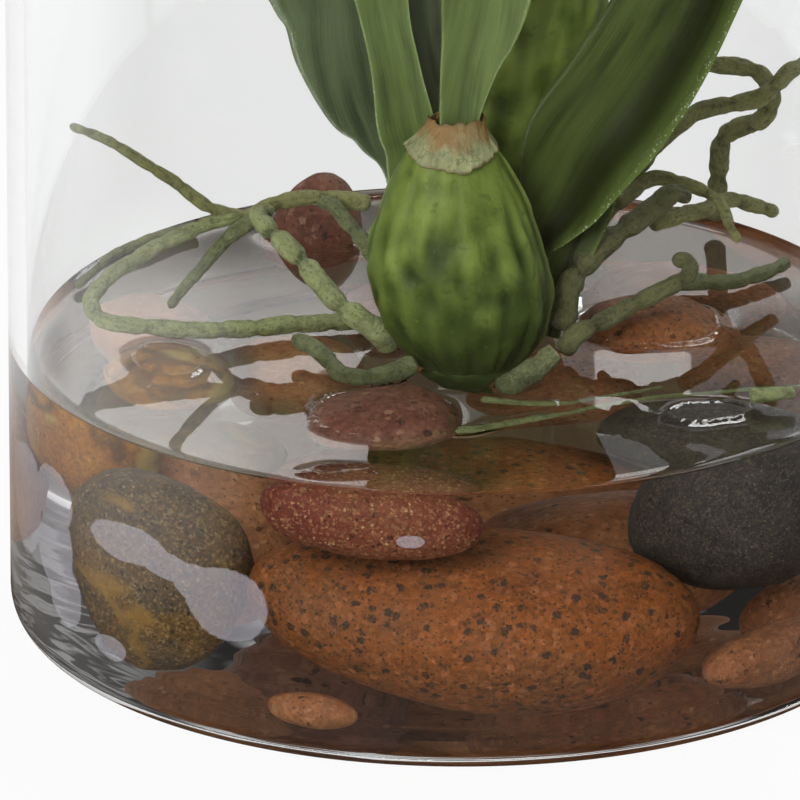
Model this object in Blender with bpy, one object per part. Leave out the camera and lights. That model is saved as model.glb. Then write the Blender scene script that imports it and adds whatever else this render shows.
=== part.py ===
"""An orchid standing in a glass cylinder vase, with river stones set in clear cast water."""

import math

import bmesh
import bpy
from mathutils import Euler, Vector, noise
from mathutils.bvhtree import BVHTree

MM = 0.001

# Vase and water, in millimetres. The vase stands on z = 0 with its axis on the Z axis.
VASE_RADIUS = 100.0
VASE_HEIGHT = 250.0
WALL = 4.0
BASE_THICKNESS = 6.0
FOOT_ROUND = 7.0
LIP_ROUND = 1.2
VASE_SEGMENTS = 56
WATER_LEVEL = 63.5
GAP = 0.3
FLOOR = BASE_THICKNESS + GAP

# Stones: centre x and y, half sizes, turns about x, y and z in degrees, the height of the underside (a stone
# without one rests on the floor of the vase), how much wider the top is than the middle, how boxy the shape
# is (2 is a plain ball) and the material.
STONE_SEGMENTS = 12
STONE_RINGS = 7
STONE_UNEVEN = 0.10
STONE_DEPTH_FLARE = 0.3
STONES = {
    "stone_speckled": ((3, -62), (46.5, 28, 20.5), (7, 4, -6), None, 0.0, 1.85, "speckled"),
    "stone_red_oval": ((-19, -80.5), (23, 8.6, 9.2), (6, 5, -2), 45.4, 0.0, 2.3, "red"),
    "stone_olive": ((-59, -44), (20.5, 15, 23.5), (0, -2, -8), None, 0.2, 2.1, "olive"),
    "stone_black": ((54, -45), (25, 16, 19), (0, 0, -12), 26.8, 0.0, 2.1, "black"),
    "stone_yellow": ((-64, -12), (14.5, 18, 15), (0, 0, 12), 36.0, 0.0, 2.3, "yellow"),
    "stone_peach": ((-69.5, 32), (14, 20, 21), (0, 0, 25), None, 0.0, 2.3, "peach"),
    "stone_tan": ((-37, 3), (15, 19, 24), (0, 0, 0), None, 0.0, 2.2, "peach"),
    "stone_red_wet": ((-17, -46), (17, 16, 8.6), (0, -4, 0), 51.2, 0.0, 2.3, "red"),
    "stone_orange_wet": ((43, 11), (19, 15, 13), (0, 6, 8), 43.0, 0.0, 2.4, "orange"),
    "stone_back_left": ((-33, 70), (11.5, 11, 20.5), (0, 10, 0), 38.0, 0.0, 2.0, "red"),
    "stone_right": ((68, 7), (20, 20, 20), (0, 0, 0), None, 0.0, 2.3, "orange"),
    "stone_low_right": ((63, -52), (20, 9, 6.5), (0, 0, 40), None, 0.0, 2.2, "orange"),
    "stone_under_right": ((65, -29), (17, 8.5, 9.5), (0, 0, 25), None, 0.0, 2.2, "orange"),
    "stone_back_right": ((51, 55), (24, 18, 18), (0, 0, -25), None, 0.0, 2.3, "orange"),
    "stone_back": ((8, 68), (19, 18, 22), (0, 0, 0), None, 0.0, 2.3, "peach"),
    "stone_middle": ((20, 4), (20, 18, 15.5), (0, 0, 0), None, 0.0, 2.4, "orange"),
    "stone_small": ((-31, -83), (10, 4.5, 4), (0, 0, -20), None, 0.0, 2.0, "orange"),
    "stone_far_left": ((-17, 42), (11, 12, 24), (0, 0, 0), None, 0.0, 2.1, "red"),
}

# Roots: the half thickness and the route, from the plant outwards.
ROOT_SIDES = 6
ROOT_THINNING = 0.25
ROOT_START = 0.7
ROOT_TIP = 0.55
ROOTS = {
    "root_left_high": (1.9, ((-20, 30, 85), (-28, 30, 86), (-36, 29, 86.4), (-43, 27, 85.4),
                             (-48, 25, 83.5), (-56, 22, 87), (-68, 16, 98), (-79, 12, 106.5),
                             (-87, 10, 110.4))),
    "root_left_arch": (1.9, ((-19, 21, 75), (-22.3, 22, 79.5), (-26, 23, 84), (-29, 24, 87),
                             (-32, 25, 86.4))),
    "root_left_chain": (2.6, ((-15, -5, 63), (-19, -6, 68), (-24, -5, 72), (-29, -1, 75), (-36, 7, 80.5),
                              (-42, 14, 84), (-45, 19, 86), (-42, 23, 86))),
    "root_left_slant": (1.8, ((-46, 21.5, 84.5), (-51, 20, 81), (-54, 20, 78), (-60, 17, 72),
                              (-65, 14, 66))),
    "root_left_hairpin": (2.0, ((-20, 6, 66), (-29, 5, 66), (-40, 2, 66.4), (-51, -2, 67),
                                (-62, -5, 68.2), (-73, -9, 70.6), (-79, -10, 72.6), (-81.5, -6, 75.4),
                                (-78, 1, 78), (-70, 10, 80.4), (-58, 20, 83), (-49, 24, 84.5))),
    "root_left_low": (2.2, ((-10, -22, 66.5), (-15, -25, 65.6), (-21, -27, 64.9), (-26, -25, 64.9),
                            (-28.5, -20, 65.8), (-32, -15, 67.3), (-37, -10, 68))),
    "root_left_wall": (1.2, ((-60, 68, 65.5), (-71, 58, 66), (-80, 46, 65.8), (-87, 30, 65.2))),
    "root_right_hook": (1.8, ((58, 70, 66), (59, 71, 76), (60, 70, 85.4), (65, 67, 90), (69, 60, 94),
                              (71, 57, 100), (68, 56, 106), (61, 56, 108), (52, 56, 107), (42, 52, 103))),
    "root_right_high": (2.0, ((36, 30, 90), (45, 31, 100), (52, 34, 104.5), (61, 36, 106),
                              (68, 36, 108.5), (75, 31, 116), (83, 24, 122))),
    "root_right_curl": (1.6, ((34, 20, 88), (42, 27, 91.6), (49, 27, 90.8), (54, 26, 89.3),
                              (58, 24, 86.8), (60, 20, 83), (62, 18, 80))),
    "root_right_small": (1.2, ((31, 26, 81), (35, 28, 85), (40, 30, 88.5))),
    "root_right_thick": (2.9, ((22, -8, 69), (24, -3, 78), (31, 4, 84), (36, 8, 86.7), (43, 12, 90.4),
                               (47, 14, 93), (51, 15, 91.5))),
    "root_right_back": (2.0, ((42, 21, 83), (46, 23, 84), (53, 30, 83), (60, 40, 81.8), (66, 45, 79),
                              (72, 48, 76))),
    "root_right_low": (2.2, ((22, -13, 65.5), (25, -12, 69), (30, -9, 71), (36, -5, 73), (42, -3, 75.4),
                             (47, -1, 77.4), (50.4, 1, 79.2), (49.8, 2, 81.6), (46.5, 2, 82))),
    "root_stub": (3.0, ((8, -31, 63.5), (13, -28, 65), (18, -25, 68), (20.5, -24, 70.2))),
    "root_strand_long": (1.1, ((-1, -56, 66), (2, -55, 66), (20, -45, 65.2), (36, -36, 65), (56, -30, 65),
                               (76, -26, 65))),
    "root_strand_short": (0.9, ((4, -38, 65), (20, -38.5, 65.2), (34, -32, 65), (44, -27, 65))),
    "root_fragment": (1.7, ((62, -43, 66.8), (67, -42, 67), (72, -41, 66.8))),
    "root_floating": (1.9, ((48, 30, 66), (60, 31, 65.8), (67, 36, 65.6), (74, 43, 66))),
}

# Front pseudobulb: height, half width and the x of its middle, from its foot up.
BULB_Y = -14.0
BULB_DEPTH = 0.68
BULB_SEGMENTS = 20
BULB_PROFILE = (
    (59.5, 7.0, 1.2), (62.5, 10.0, 1.6), (66.0, 13.5, 1.6), (71.0, 17.0, 1.2), (79.0, 19.5, 0.2),
    (89.5, 19.3, -1.4), (102.5, 15.4, -2.0), (112.0, 10.6, -2.2), (116.5, 7.0, -2.0), (118.0, 3.6, -1.8),
)
COLLAR_SEGMENTS = 16
COLLAR_WALL = 0.7
COLLAR_PROFILE = ((110.0, 12.3, -2.2), (113.0, 10.6, -2.2), (117.4, 7.6, -1.9), (119.4, 6.2, -1.4),
                  (121.5, 5.8, -1.0))

# Back growth: height, half width and the x of its middle.
BACK_Y = 15.0
BACK_DEPTH = 0.72
BACK_PROFILE = (
    (61.0, 8.0, 8.0), (70.0, 12.5, 8.5), (90.0, 14.0, 9.5), (115.0, 15.5, 12.5), (140.0, 16.0, 17.0),
    (165.0, 12.0, 19.0), (183.0, 6.0, 19.0),
)

# Places across a leaf or a lip, from one rim to the other, and how thick a leaf's rim is beside its middle.
CROSS_PLACES = (-1.0, -0.5, 0.0, 0.5, 1.0)
LEAF_EDGE = 0.45

# Leaves: the fold (depth over half width), thickness, the way the upper side faces in degrees about the
# leaf (0 faces the front), and its stations: middle and width.
LEAVES = {
    "leaf_front": (0.42, 1.5, 10, (
        ((-1, -14, 118.6), 8.4), ((-0.5, -14, 124), 9.6), ((1.2, -14.5, 134), 13),
        ((4.4, -15, 149), 19.5), ((8, -17, 185), 27), ((14, -21, 225), 33), ((22, -29, 265), 35),
        ((30, -39, 300), 30), ((38, -49, 330), 18), ((42, -55, 346), 2.5))),
    "leaf_sheath_left": (0.35, 1.6, -6, (
        ((-9, 5, 64), 10), ((-9.5, 4, 90), 12), ((-10.5, 0.5, 108), 12), ((-12, -2, 116), 13),
        ((-14.4, -3.5, 130), 11), ((-17.5, -4.5, 147), 12), ((-23, -5, 190), 22), ((-31, -7, 240), 29),
        ((-43, -11, 290), 28), ((-54, -15, 330), 18), ((-60, -18, 352), 2.5))),
    "leaf_far_left": (0.25, 1.5, 0, (
        ((-10, 14, 64), 8), ((-10.5, 13, 97), 12), ((-14, 12, 110), 20), ((-17, 11.5, 118), 28),
        ((-19.5, 11, 130), 35), ((-22, 11, 146), 41), ((-38, 12, 180), 43), ((-55, 13, 212), 40),
        ((-70, 15, 250), 34), ((-88, 18, 290), 27), ((-108, 20, 320), 17), ((-124, 22, 335), 2.5))),
    "leaf_right": (0.55, 1.8, -28, (
        ((16, 1, 84), 6), ((19.5, 1, 91), 14), ((23.5, 1, 98.5), 21), ((29, 0, 110), 27),
        ((39, 0, 124), 28), ((50, 0, 144), 27), ((60, 2, 170), 28), ((68, 4, 202), 27),
        ((73, 6, 236), 24), ((80, 8, 270), 20), ((92, 10, 300), 13), ((102, 12, 318), 2.5))),
    "leaf_sheath_right": (0.4, 1.6, -12, (
        ((19.5, -1, 65), 5), ((20.5, 0, 70), 6), ((22, 1, 77), 8), ((24.5, 2, 84), 9.5),
        ((28.5, 4, 92), 9), ((32.5, 6, 99), 6), ((36, 7, 105), 2.5))),
    "leaf_back_right": (0.3, 1.5, 200, (
        ((25, 20, 176), 14), ((30, 27, 212), 24), ((38, 38, 255), 28), ((50, 52, 296), 23),
        ((64, 67, 326), 2.5))),
    "leaf_back_left": (0.3, 1.5, 160, (
        ((11, 22, 176), 14), ((4, 32, 216), 24), ((-8, 46, 262), 28), ((-24, 62, 302), 23),
        ((-40, 78, 328), 2.5))),
}

# Flower spike, with its blooms: centre, the way each faces and the point where its stalk leaves the spike.
SPIKE_HALF = 2.4
SPIKE = (
    (17, 33, 60), (17, 34, 120), (16, 36, 180), (12, 34, 260), (4, 26, 340), (-6, 14, 405), (-18, 0, 452),
    (-34, -16, 486), (-40, -25, 499), (-45.1, -35.1, 510.3),
)
BLOOM_SIZE = 31.0
BLOOM_LOBES = 5
BLOOM_STEPS = 6
BLOOM_WALL = 1.1
BLOOM_NOTCH = 0.30
BLOOM_CUP = 5.0
BLOOM_DROOP = 3.0
BLOOM_SHARES = (0.12, 0.55, 1.0)
STALK_BACK = 14.0
STALK_HALVES = (2.4, 2.0, 1.8, 1.6, 1.5)
BLOOMS = {
    "bloom_1": ((22, -4, 372), (0.5, -1.0, 0.1), (1.5, 22.5, 356)),
    "bloom_2": ((-36, -10, 402), (-0.7, -1.0, 0.1), (-6.5, 12, 405)),
    "bloom_3": ((4, -28, 446), (0.35, -1.0, 0.05), (-14, 3, 442)),
    "bloom_4": ((-50, -40, 462), (-0.45, -1.0, -0.1), (-24, -6, 466)),
}
# The lip of each bloom: reach ahead of the bloom's middle, half width and drop below it, station by station.
LIP_STATIONS = ((7.5, 3, 2), (11, 6, 3.5), (15, 9, 7), (18, 9, 12), (20, 4, 16))
LIP_CURL = 3.0
LIP_WALL = 1.0

# Buds: root end, tip and half thickness.
BUD_STEPS = 5
BUD_SIDES = 8
BUDS = {
    "bud_1": ((-46, -36, 511), (-60, -48, 520), 6.0),
    "bud_2": ((-44.9, -29.8, 502.6), (-60, -40, 500.5), 4.6),
}

MATERIALS = {
    "clear_glass": ((0.93, 0.96, 0.95), 0.03, 0.6),
    "clear_resin": ((0.90, 0.90, 0.88), 0.04, 0.6),
    "stone_speckled": ((0.42, 0.22, 0.10), 0.45, 0.0),
    "stone_red": ((0.36, 0.14, 0.09), 0.40, 0.0),
    "stone_olive": ((0.16, 0.13, 0.06), 0.45, 0.0),
    "stone_black": ((0.05, 0.05, 0.05), 0.40, 0.0),
    "stone_yellow": ((0.45, 0.27, 0.09), 0.45, 0.0),
    "stone_peach": ((0.50, 0.30, 0.18), 0.50, 0.0),
    "stone_orange": ((0.48, 0.22, 0.09), 0.45, 0.0),
    "bulb_green": ((0.16, 0.25, 0.06), 0.42, 0.0),
    "leaf_green": ((0.11, 0.19, 0.05), 0.40, 0.0),
    "leaf_dark": ((0.06, 0.10, 0.04), 0.35, 0.0),
    "root_green": ((0.20, 0.24, 0.10), 0.55, 0.0),
    "husk_tan": ((0.45, 0.36, 0.20), 0.70, 0.0),
    "spike_green": ((0.20, 0.28, 0.08), 0.45, 0.0),
    "petal_cream": ((0.85, 0.82, 0.70), 0.50, 0.0),
    "lip_yellow": ((0.80, 0.60, 0.16), 0.50, 0.0),
}


def clear_scene():
    for thing in list(bpy.data.objects):
        bpy.data.objects.remove(thing, do_unlink=True)


def material(name):
    """The named Principled material, made the first time it is asked for."""
    if name in bpy.data.materials:
        return bpy.data.materials[name]
    colour, roughness, transmission = MATERIALS[name]
    made = bpy.data.materials.new(name)
    made.use_nodes = True
    shader = made.node_tree.nodes["Principled BSDF"]
    shader.inputs["Base Color"].default_value = (*colour, 1.0)
    shader.inputs["Roughness"].default_value = roughness
    shader.inputs["Metallic"].default_value = 0.0
    shader.inputs["Transmission Weight"].default_value = transmission
    return made


def mesh_object(name, mesh_maker, material_name):
    """An object whose mesh the given function fills, facing out and shaded smooth."""
    bm = bmesh.new()
    mesh_maker(bm)
    bmesh.ops.recalc_face_normals(bm, faces=bm.faces)
    bmesh.ops.triangulate(bm, faces=[face for face in bm.faces if len(face.verts) > 4])
    mesh = bpy.data.meshes.new(name)
    bm.to_mesh(mesh)
    bm.free()
    mesh.materials.append(material(material_name))
    mesh.shade_smooth()
    mesh.set_sharp_from_angle(angle=math.radians(40))
    made = bpy.data.objects.new(name, mesh)
    bpy.context.collection.objects.link(made)
    return made


def ring_body(bm, rings):
    """Closes a row of equal rings of points into one body, each end capped by one face."""
    rows = [[bm.verts.new(Vector(point) * MM) for point in ring] for ring in rings]
    count = len(rows[0])
    for lower, upper in zip(rows, rows[1:]):
        for i in range(count):
            j = (i + 1) % count
            bm.faces.new((lower[i], lower[j], upper[j], upper[i]))
    bm.faces.new(list(reversed(rows[0])))
    bm.faces.new(rows[-1])


def closed_ring_body(bm, rings):
    """Joins a closed loop of rings, as a collar or a tube wall is."""
    rows = [[bm.verts.new(Vector(point) * MM) for point in ring] for ring in rings]
    count = len(rows[0])
    for k, lower in enumerate(rows):
        upper = rows[(k + 1) % len(rows)]
        for i in range(count):
            j = (i + 1) % count
            bm.faces.new((lower[i], lower[j], upper[j], upper[i]))


def ellipse(height, half_x, half_y, centre_x, centre_y, segments):
    turns = [2 * math.pi * i / segments for i in range(segments)]
    return [(centre_x + half_x * math.cos(t), centre_y + half_y * math.sin(t), height) for t in turns]


def arc(centre_r, centre_z, radius, start, end, steps):
    """Points of an arc in the plane of a turned profile, as (r, z)."""
    turns = [math.radians(start + (end - start) * i / steps) for i in range(steps + 1)]
    return [(centre_r + radius * math.cos(t), centre_z + radius * math.sin(t)) for t in turns]


def vase(bm):
    """The glass: a turned profile from the middle of its foot round to the middle of its floor."""
    inner = VASE_RADIUS - WALL
    profile = arc(VASE_RADIUS - FOOT_ROUND, FOOT_ROUND, FOOT_ROUND, -90, 0, 4)
    profile += arc(VASE_RADIUS - LIP_ROUND, VASE_HEIGHT - LIP_ROUND, LIP_ROUND, 0, 90, 2)
    profile += arc(inner + LIP_ROUND, VASE_HEIGHT - LIP_ROUND, LIP_ROUND, 90, 180, 2)
    profile += [(inner, BASE_THICKNESS)]
    ring_body(bm, [ellipse(z, r, r, 0, 0, VASE_SEGMENTS) for r, z in profile])


def water(bm):
    """The cast water: a plain disc that fills the vase from its floor to the water level."""
    radius = VASE_RADIUS - WALL - GAP
    ring_body(bm, [ellipse(z, radius, radius, 0, 0, VASE_SEGMENTS) for z in (FLOOR, WATER_LEVEL)])


def stone_skin(way, name):
    """A point of a worn stone's skin, in a given direction from its middle."""
    _, half, turns, _, flare, box, _ = STONES[name]
    seed = list(STONES).index(name)
    way = way * sum(abs(c) ** box for c in way) ** (-1 / box)
    uneven = 1 + STONE_UNEVEN * noise.noise(way * 1.1 + Vector((seed * 3.7, 1.3, seed)))
    wider = 1 + flare * way.z * uneven
    deeper = 1 + flare * STONE_DEPTH_FLARE * way.z * uneven
    point = Vector((way.x * half[0] * uneven * wider, way.y * half[1] * uneven * deeper,
                    way.z * half[2] * uneven))
    return Euler([math.radians(turn) for turn in turns], "XYZ").to_matrix() @ point


def stone(name):
    """A stone's mesh function: its points are stood on its underside height."""
    (x, y), _, _, underside, _, _, _ = STONES[name]

    def make(bm):
        rows = []
        for ring in range(STONE_RINGS + 1):
            tilt = math.pi * ring / STONE_RINGS - math.pi / 2
            turns = [2 * math.pi * i / STONE_SEGMENTS for i in range(STONE_SEGMENTS)]
            if ring in (0, STONE_RINGS):
                turns = turns[:1]
            flat, rise = math.cos(tilt), math.sin(tilt)
            ways = [Vector((flat * math.cos(t), flat * math.sin(t), rise)) for t in turns]
            rows.append([stone_skin(way, name) for way in ways])
        lowest = min(point.z for row in rows for point in row)
        lift = Vector((x, y, (FLOOR if underside is None else underside) - lowest))
        verts = [[bm.verts.new((point + lift) * MM) for point in row] for row in rows]
        for lower, upper in zip(verts, verts[1:]):
            for i in range(STONE_SEGMENTS):
                j = (i + 1) % STONE_SEGMENTS
                corners = [lower[i % len(lower)], lower[j % len(lower)], upper[j % len(upper)],
                           upper[i % len(upper)]]
                bm.faces.new(sorted(set(corners), key=corners.index))

    return make


def smooth_route(points, per_span):
    """Points read from a Catmull-Rom curve through the given ones."""
    given = [Vector(point) for point in points]
    ends = [given[0] * 2 - given[1], *given, given[-1] * 2 - given[-2]]
    route = []
    for a, b, c, d in zip(ends, ends[1:], ends[2:], ends[3:]):
        for k in range(per_span):
            t = k / per_span
            route.append(0.5 * (2 * b + (c - a) * t + (2 * a - 5 * b + 4 * c - d) * t * t
                                + (3 * b - a - 3 * c + d) * t * t * t))
    route.append(given[-1])
    return route


def frames(route):
    """A side and an up direction at each point of a route, turned as little as possible along it."""
    neighbours = zip([route[0], *route], [*route[1:], route[-1]])
    tangents = [(after - before).normalized() for before, after in neighbours]
    side = tangents[0].orthogonal().normalized()
    found = []
    for tangent in tangents:
        side = (side - tangent * side.dot(tangent)).normalized()
        found.append((side, tangent.cross(side)))
    return found


def tube_rings(route, halves, sides):
    rings = []
    for point, half, (side, up) in zip(route, halves, frames(route)):
        turns = [2 * math.pi * i / sides for i in range(sides)]
        rings.append([point + side * (half * math.cos(t)) + up * (half * math.sin(t)) for t in turns])
    return rings


def root(name):
    """A root's mesh function: a tube that thins to its tip, with rounded ends."""
    half, points = ROOTS[name]

    def make(bm):
        route = smooth_route(points, 2)
        last = len(route) - 1
        halves = [half * (1.0 - ROOT_THINNING * i / last) for i in range(len(route))]
        halves[0] *= ROOT_START
        halves[-1] *= ROOT_TIP
        ring_body(bm, tube_rings(route, halves, ROOT_SIDES))

    return make


def bulb(bm):
    rings = [ellipse(z, half, half * BULB_DEPTH, x, BULB_Y, BULB_SEGMENTS) for z, half, x in BULB_PROFILE]
    ring_body(bm, rings)


def back_bulb(bm):
    rings = [ellipse(z, half, half * BACK_DEPTH, x, BACK_Y, BULB_SEGMENTS) for z, half, x in BACK_PROFILE]
    ring_body(bm, rings)


def collar(bm):
    """The dry husk: a thin sleeve over the shoulder of the bulb."""
    def sleeve(grow):
        return [ellipse(z, half + grow, (half + grow) * BULB_DEPTH, x, BULB_Y, COLLAR_SEGMENTS)
                for z, half, x in COLLAR_PROFILE]

    closed_ring_body(bm, sleeve(COLLAR_WALL) + list(reversed(sleeve(0.0))))


def leaf(name):
    """A leaf's mesh function: a folded blade with a middle fold and a real thickness."""
    fold, thickness, facing, stations = LEAVES[name]

    def make(bm):
        centres = [Vector(middle) for middle, _ in stations]
        face = Vector((math.sin(math.radians(facing)), -math.cos(math.radians(facing)), 0))
        rings = []
        for k, (centre, (_, width)) in enumerate(zip(centres, stations)):
            along = (centres[min(k + 1, len(centres) - 1)] - centres[max(k - 1, 0)]).normalized()
            normal = (face - along * face.dot(along)).normalized()
            across = along.cross(normal)
            middle = min(thickness, width / 3)
            edge = LEAF_EDGE * middle
            upper = []
            lower = []
            for u in CROSS_PLACES:
                spot = centre + across * (u * width / 2) + normal * (fold * abs(u) * width / 2)
                half = (edge + (middle - edge) * (1 - abs(u))) / 2
                upper.append(spot + normal * half)
                lower.append(spot - normal * half)
            rings.append(upper + list(reversed(lower)))
        ring_body(bm, rings)

    return make


def bloom(name):
    """A bloom's mesh function: five petals in one sheet, with the stalk that carries it."""
    centre, facing, joint = (Vector(part) for part in BLOOMS[name])
    forward = facing.normalized()
    across = forward.cross(Vector((0, 0, 1))).normalized()
    upward = across.cross(forward)
    segments = BLOOM_LOBES * BLOOM_STEPS
    turns = [2 * math.pi * i / segments + math.pi / 2 for i in range(segments)]
    ways = [across * math.cos(turn) + upward * math.sin(turn) for turn in turns]
    lobes = [abs(math.cos(math.pi * i / BLOOM_STEPS)) for i in range(segments)]

    def sheet(share, depth):
        """One round of the sheet, at a share of the petals' reach."""
        ring = []
        for way, lobe in zip(ways, lobes):
            reach = BLOOM_SIZE * (BLOOM_NOTCH + (1 - BLOOM_NOTCH) * lobe ** 0.8) * share
            cup = BLOOM_CUP * math.sin(math.pi * share) - BLOOM_DROOP * share * lobe
            ring.append(centre + way * reach + forward * (cup - depth))
        return ring

    def make(bm):
        front = [sheet(share, 0.0) for share in BLOOM_SHARES]
        back = [sheet(share, BLOOM_WALL) for share in reversed(BLOOM_SHARES)]
        end = joint + (centre - joint).normalized() * (SPIKE_HALF + GAP)
        route = smooth_route((centre - forward * BLOOM_CUP, centre - forward * STALK_BACK, end), 2)
        stalk = [[point + way * half for way in ways] for point, half in zip(route, STALK_HALVES)]
        ring_body(bm, front + back + stalk)

    return make


def lip(name):
    """A bloom's lip: a small scoop held in front of the bloom's middle."""
    centre, facing, _ = (Vector(part) for part in BLOOMS[name])
    forward = facing.normalized()
    across = forward.cross(Vector((0, 0, 1))).normalized()
    upward = across.cross(forward)

    def make(bm):
        rings = []
        for reach, half, drop in LIP_STATIONS:
            spot = centre + forward * reach - upward * drop
            upper = [spot + across * (u * half) + upward * (abs(u) * LIP_CURL) for u in CROSS_PLACES]
            lower = [point - upward * LIP_WALL for point in upper]
            rings.append(upper + list(reversed(lower)))
        ring_body(bm, rings)

    return make


def bud(name):
    root_end, tip, half = BUDS[name]
    route = smooth_route((root_end, tip), BUD_STEPS)
    halves = [half * math.sin(math.pi * (0.08 + 0.84 * i / BUD_STEPS)) for i in range(BUD_STEPS + 1)]

    def make(bm):
        ring_body(bm, tube_rings(route, halves, BUD_SIDES))

    return make


def spike(bm):
    route = smooth_route(SPIKE, 3)
    last = len(route) - 1
    ring_body(bm, tube_rings(route, [SPIKE_HALF * (1 - 0.35 * i / last) for i in range(last + 1)], 7))


def grown_copy(source, by):
    """A copy of an object's mesh moved out along its normals, used to cut clearance for it."""
    grown = source.copy()
    grown.data = source.data.copy()
    grown.name = source.name + "_cutter"
    grown.hide_render = True
    grown.display_type = "WIRE"
    for vertex, normal in zip(grown.data.vertices, [Vector(v.normal) for v in source.data.vertices]):
        vertex.co += normal * by * MM
    return grown


def touches(one, other):
    graph = bpy.context.evaluated_depsgraph_get()
    return bool(BVHTree.FromObject(one, graph).overlap(BVHTree.FromObject(other, graph)))


def largest_body(mesh):
    """Deletes all but the largest of a mesh's separate bodies."""
    bm = bmesh.new()
    bm.from_mesh(mesh)
    left = set(bm.verts)
    bodies = []
    while left:
        body = {left.pop()}
        front = list(body)
        while front:
            for edge in front.pop().link_edges:
                for vertex in edge.verts:
                    if vertex in left:
                        left.remove(vertex)
                        body.add(vertex)
                        front.append(vertex)
        bodies.append(body)
    keep = max(bodies, key=len)
    bmesh.ops.delete(bm, geom=[v for v in bm.verts if v not in keep], context="VERTS")
    bm.to_mesh(mesh)
    bm.free()


def clear_of(target, others):
    """Cuts clearance in a body for the others that reach into it."""
    cutters = []
    for other in others:
        cutter = grown_copy(other, GAP * 1.3)
        bpy.context.collection.objects.link(cutter)
        bpy.context.view_layer.update()
        if touches(target, cutter) or target.name == "water_fill":
            cutters.append(cutter)
        else:
            bpy.data.objects.remove(cutter)
    for cutter in cutters:
        cut = target.modifiers.new("clear", "BOOLEAN")
        cut.operation = "DIFFERENCE"
        cut.solver = "EXACT"
        cut.object = cutter
        graph = bpy.context.evaluated_depsgraph_get()
        mesh = bpy.data.meshes.new_from_object(target.evaluated_get(graph))
        target.modifiers.clear()
        target.data = mesh
        largest_body(mesh)
        bpy.data.objects.remove(cutter)
    if cutters:
        print("cut", target.name, "clear of", len(cutters))


def build():
    clear_scene()
    mesh_object("glass_vase", vase, "clear_glass")
    stones = [mesh_object(name, stone(name), "stone_" + spec[-1]) for name, spec in STONES.items()]
    front = mesh_object("pseudobulb_front", bulb, "bulb_green")
    blade = mesh_object("leaf_front", leaf("leaf_front"), "leaf_green")
    husk = mesh_object("husk_collar", collar, "husk_tan")
    clear_of(husk, [front, blade])
    plant = [front, blade, husk]
    for name in LEAVES:
        if name != "leaf_front":
            made = mesh_object(name, leaf(name), "leaf_dark" if name == "leaf_far_left" else "leaf_green")
            clear_of(made, plant)
            plant.append(made)
    back = mesh_object("pseudobulb_back", back_bulb, "bulb_green")
    clear_of(back, plant)
    plant.append(back)
    stem = mesh_object("flower_spike", spike, "spike_green")
    clear_of(stem, plant)
    plant.append(stem)
    for name in ROOTS:
        made = mesh_object(name, root(name), "root_green")
        clear_of(made, plant + stones)
        plant.append(made)
    for name in BLOOMS:
        flower = mesh_object(name, bloom(name), "petal_cream")
        mouth = mesh_object(name.replace("bloom", "lip"), lip(name), "lip_yellow")
        clear_of(mouth, [flower])
    for name in BUDS:
        mesh_object(name, bud(name), "petal_cream")
    fill = mesh_object("water_fill", water, "clear_resin")
    low = [thing for thing in plant if min(v.co.z for v in thing.data.vertices) < WATER_LEVEL * MM]
    clear_of(fill, stones + low)


build()
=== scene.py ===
"""An orchid in clear cast water over river stones, in a glass cylinder vase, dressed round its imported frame.

Run as a script. It is laid out as an add-on: settings, one operator for each group of pieces, one panel.
"""

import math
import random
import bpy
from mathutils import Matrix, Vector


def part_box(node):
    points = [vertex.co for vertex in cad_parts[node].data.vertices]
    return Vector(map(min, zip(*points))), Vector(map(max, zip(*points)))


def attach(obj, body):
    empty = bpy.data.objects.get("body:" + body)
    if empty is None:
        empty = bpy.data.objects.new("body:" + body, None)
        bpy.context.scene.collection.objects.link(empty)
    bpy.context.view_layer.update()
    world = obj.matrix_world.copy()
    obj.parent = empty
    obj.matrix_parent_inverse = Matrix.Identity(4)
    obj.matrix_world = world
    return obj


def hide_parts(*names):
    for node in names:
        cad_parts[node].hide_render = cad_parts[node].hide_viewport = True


bl_info = {
    "name": "Orchid in Glass Vase",
    "version": (1, 0, 0),
    "blender": (4, 5, 0),
    "location": "3D View > Sidebar > Orchid",
    "description": "Builds an orchid, its stones and its cast water in a glass cylinder vase",
    "category": "Object",
}

import bpy
from mathutils import Euler, Vector, kdtree, noise

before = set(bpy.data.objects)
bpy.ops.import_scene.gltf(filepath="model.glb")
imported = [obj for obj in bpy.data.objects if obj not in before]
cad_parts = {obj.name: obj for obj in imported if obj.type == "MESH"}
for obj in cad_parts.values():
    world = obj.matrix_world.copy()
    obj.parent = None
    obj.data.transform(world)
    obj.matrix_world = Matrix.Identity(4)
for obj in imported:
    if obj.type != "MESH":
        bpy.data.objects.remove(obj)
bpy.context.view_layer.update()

MM = 0.001
VASE_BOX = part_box("glass_vase")
WATER_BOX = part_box("water_fill")
VASE_RADIUS = (VASE_BOX[1].x - VASE_BOX[0].x) / 2 / MM
VASE_HEIGHT = VASE_BOX[1].z / MM
WATER_LEVEL = WATER_BOX[1].z / MM


def tone(*shown):
    """A colour named by its display values from 0 to 255, as the linear colour that shaders take."""
    return tuple(c / 255 / 12.92 if c < 10.3 else ((c / 255 + 0.055) / 1.055) ** 2.4 for c in shown)


def shaded(colour, shade):
    """A colour made lighter or darker, by one share or by one share for each channel."""
    shares = shade if isinstance(shade, tuple) else (shade, shade, shade)
    return tuple(min(1.0, c * share) for c, share in zip(colour, shares))


WHITE = (1.0, 1.0, 1.0)


# ---------------------------------------------------------------- settings


def colour_property(name, description, default):
    return bpy.props.FloatVectorProperty(
        name=name, description=description, subtype="COLOR", size=3, min=0.0, max=1.0, default=default)


def number_property(name, description, default, unit="NONE"):
    return bpy.props.FloatProperty(name=name, description=description, default=default, min=0.0, unit=unit)


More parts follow.
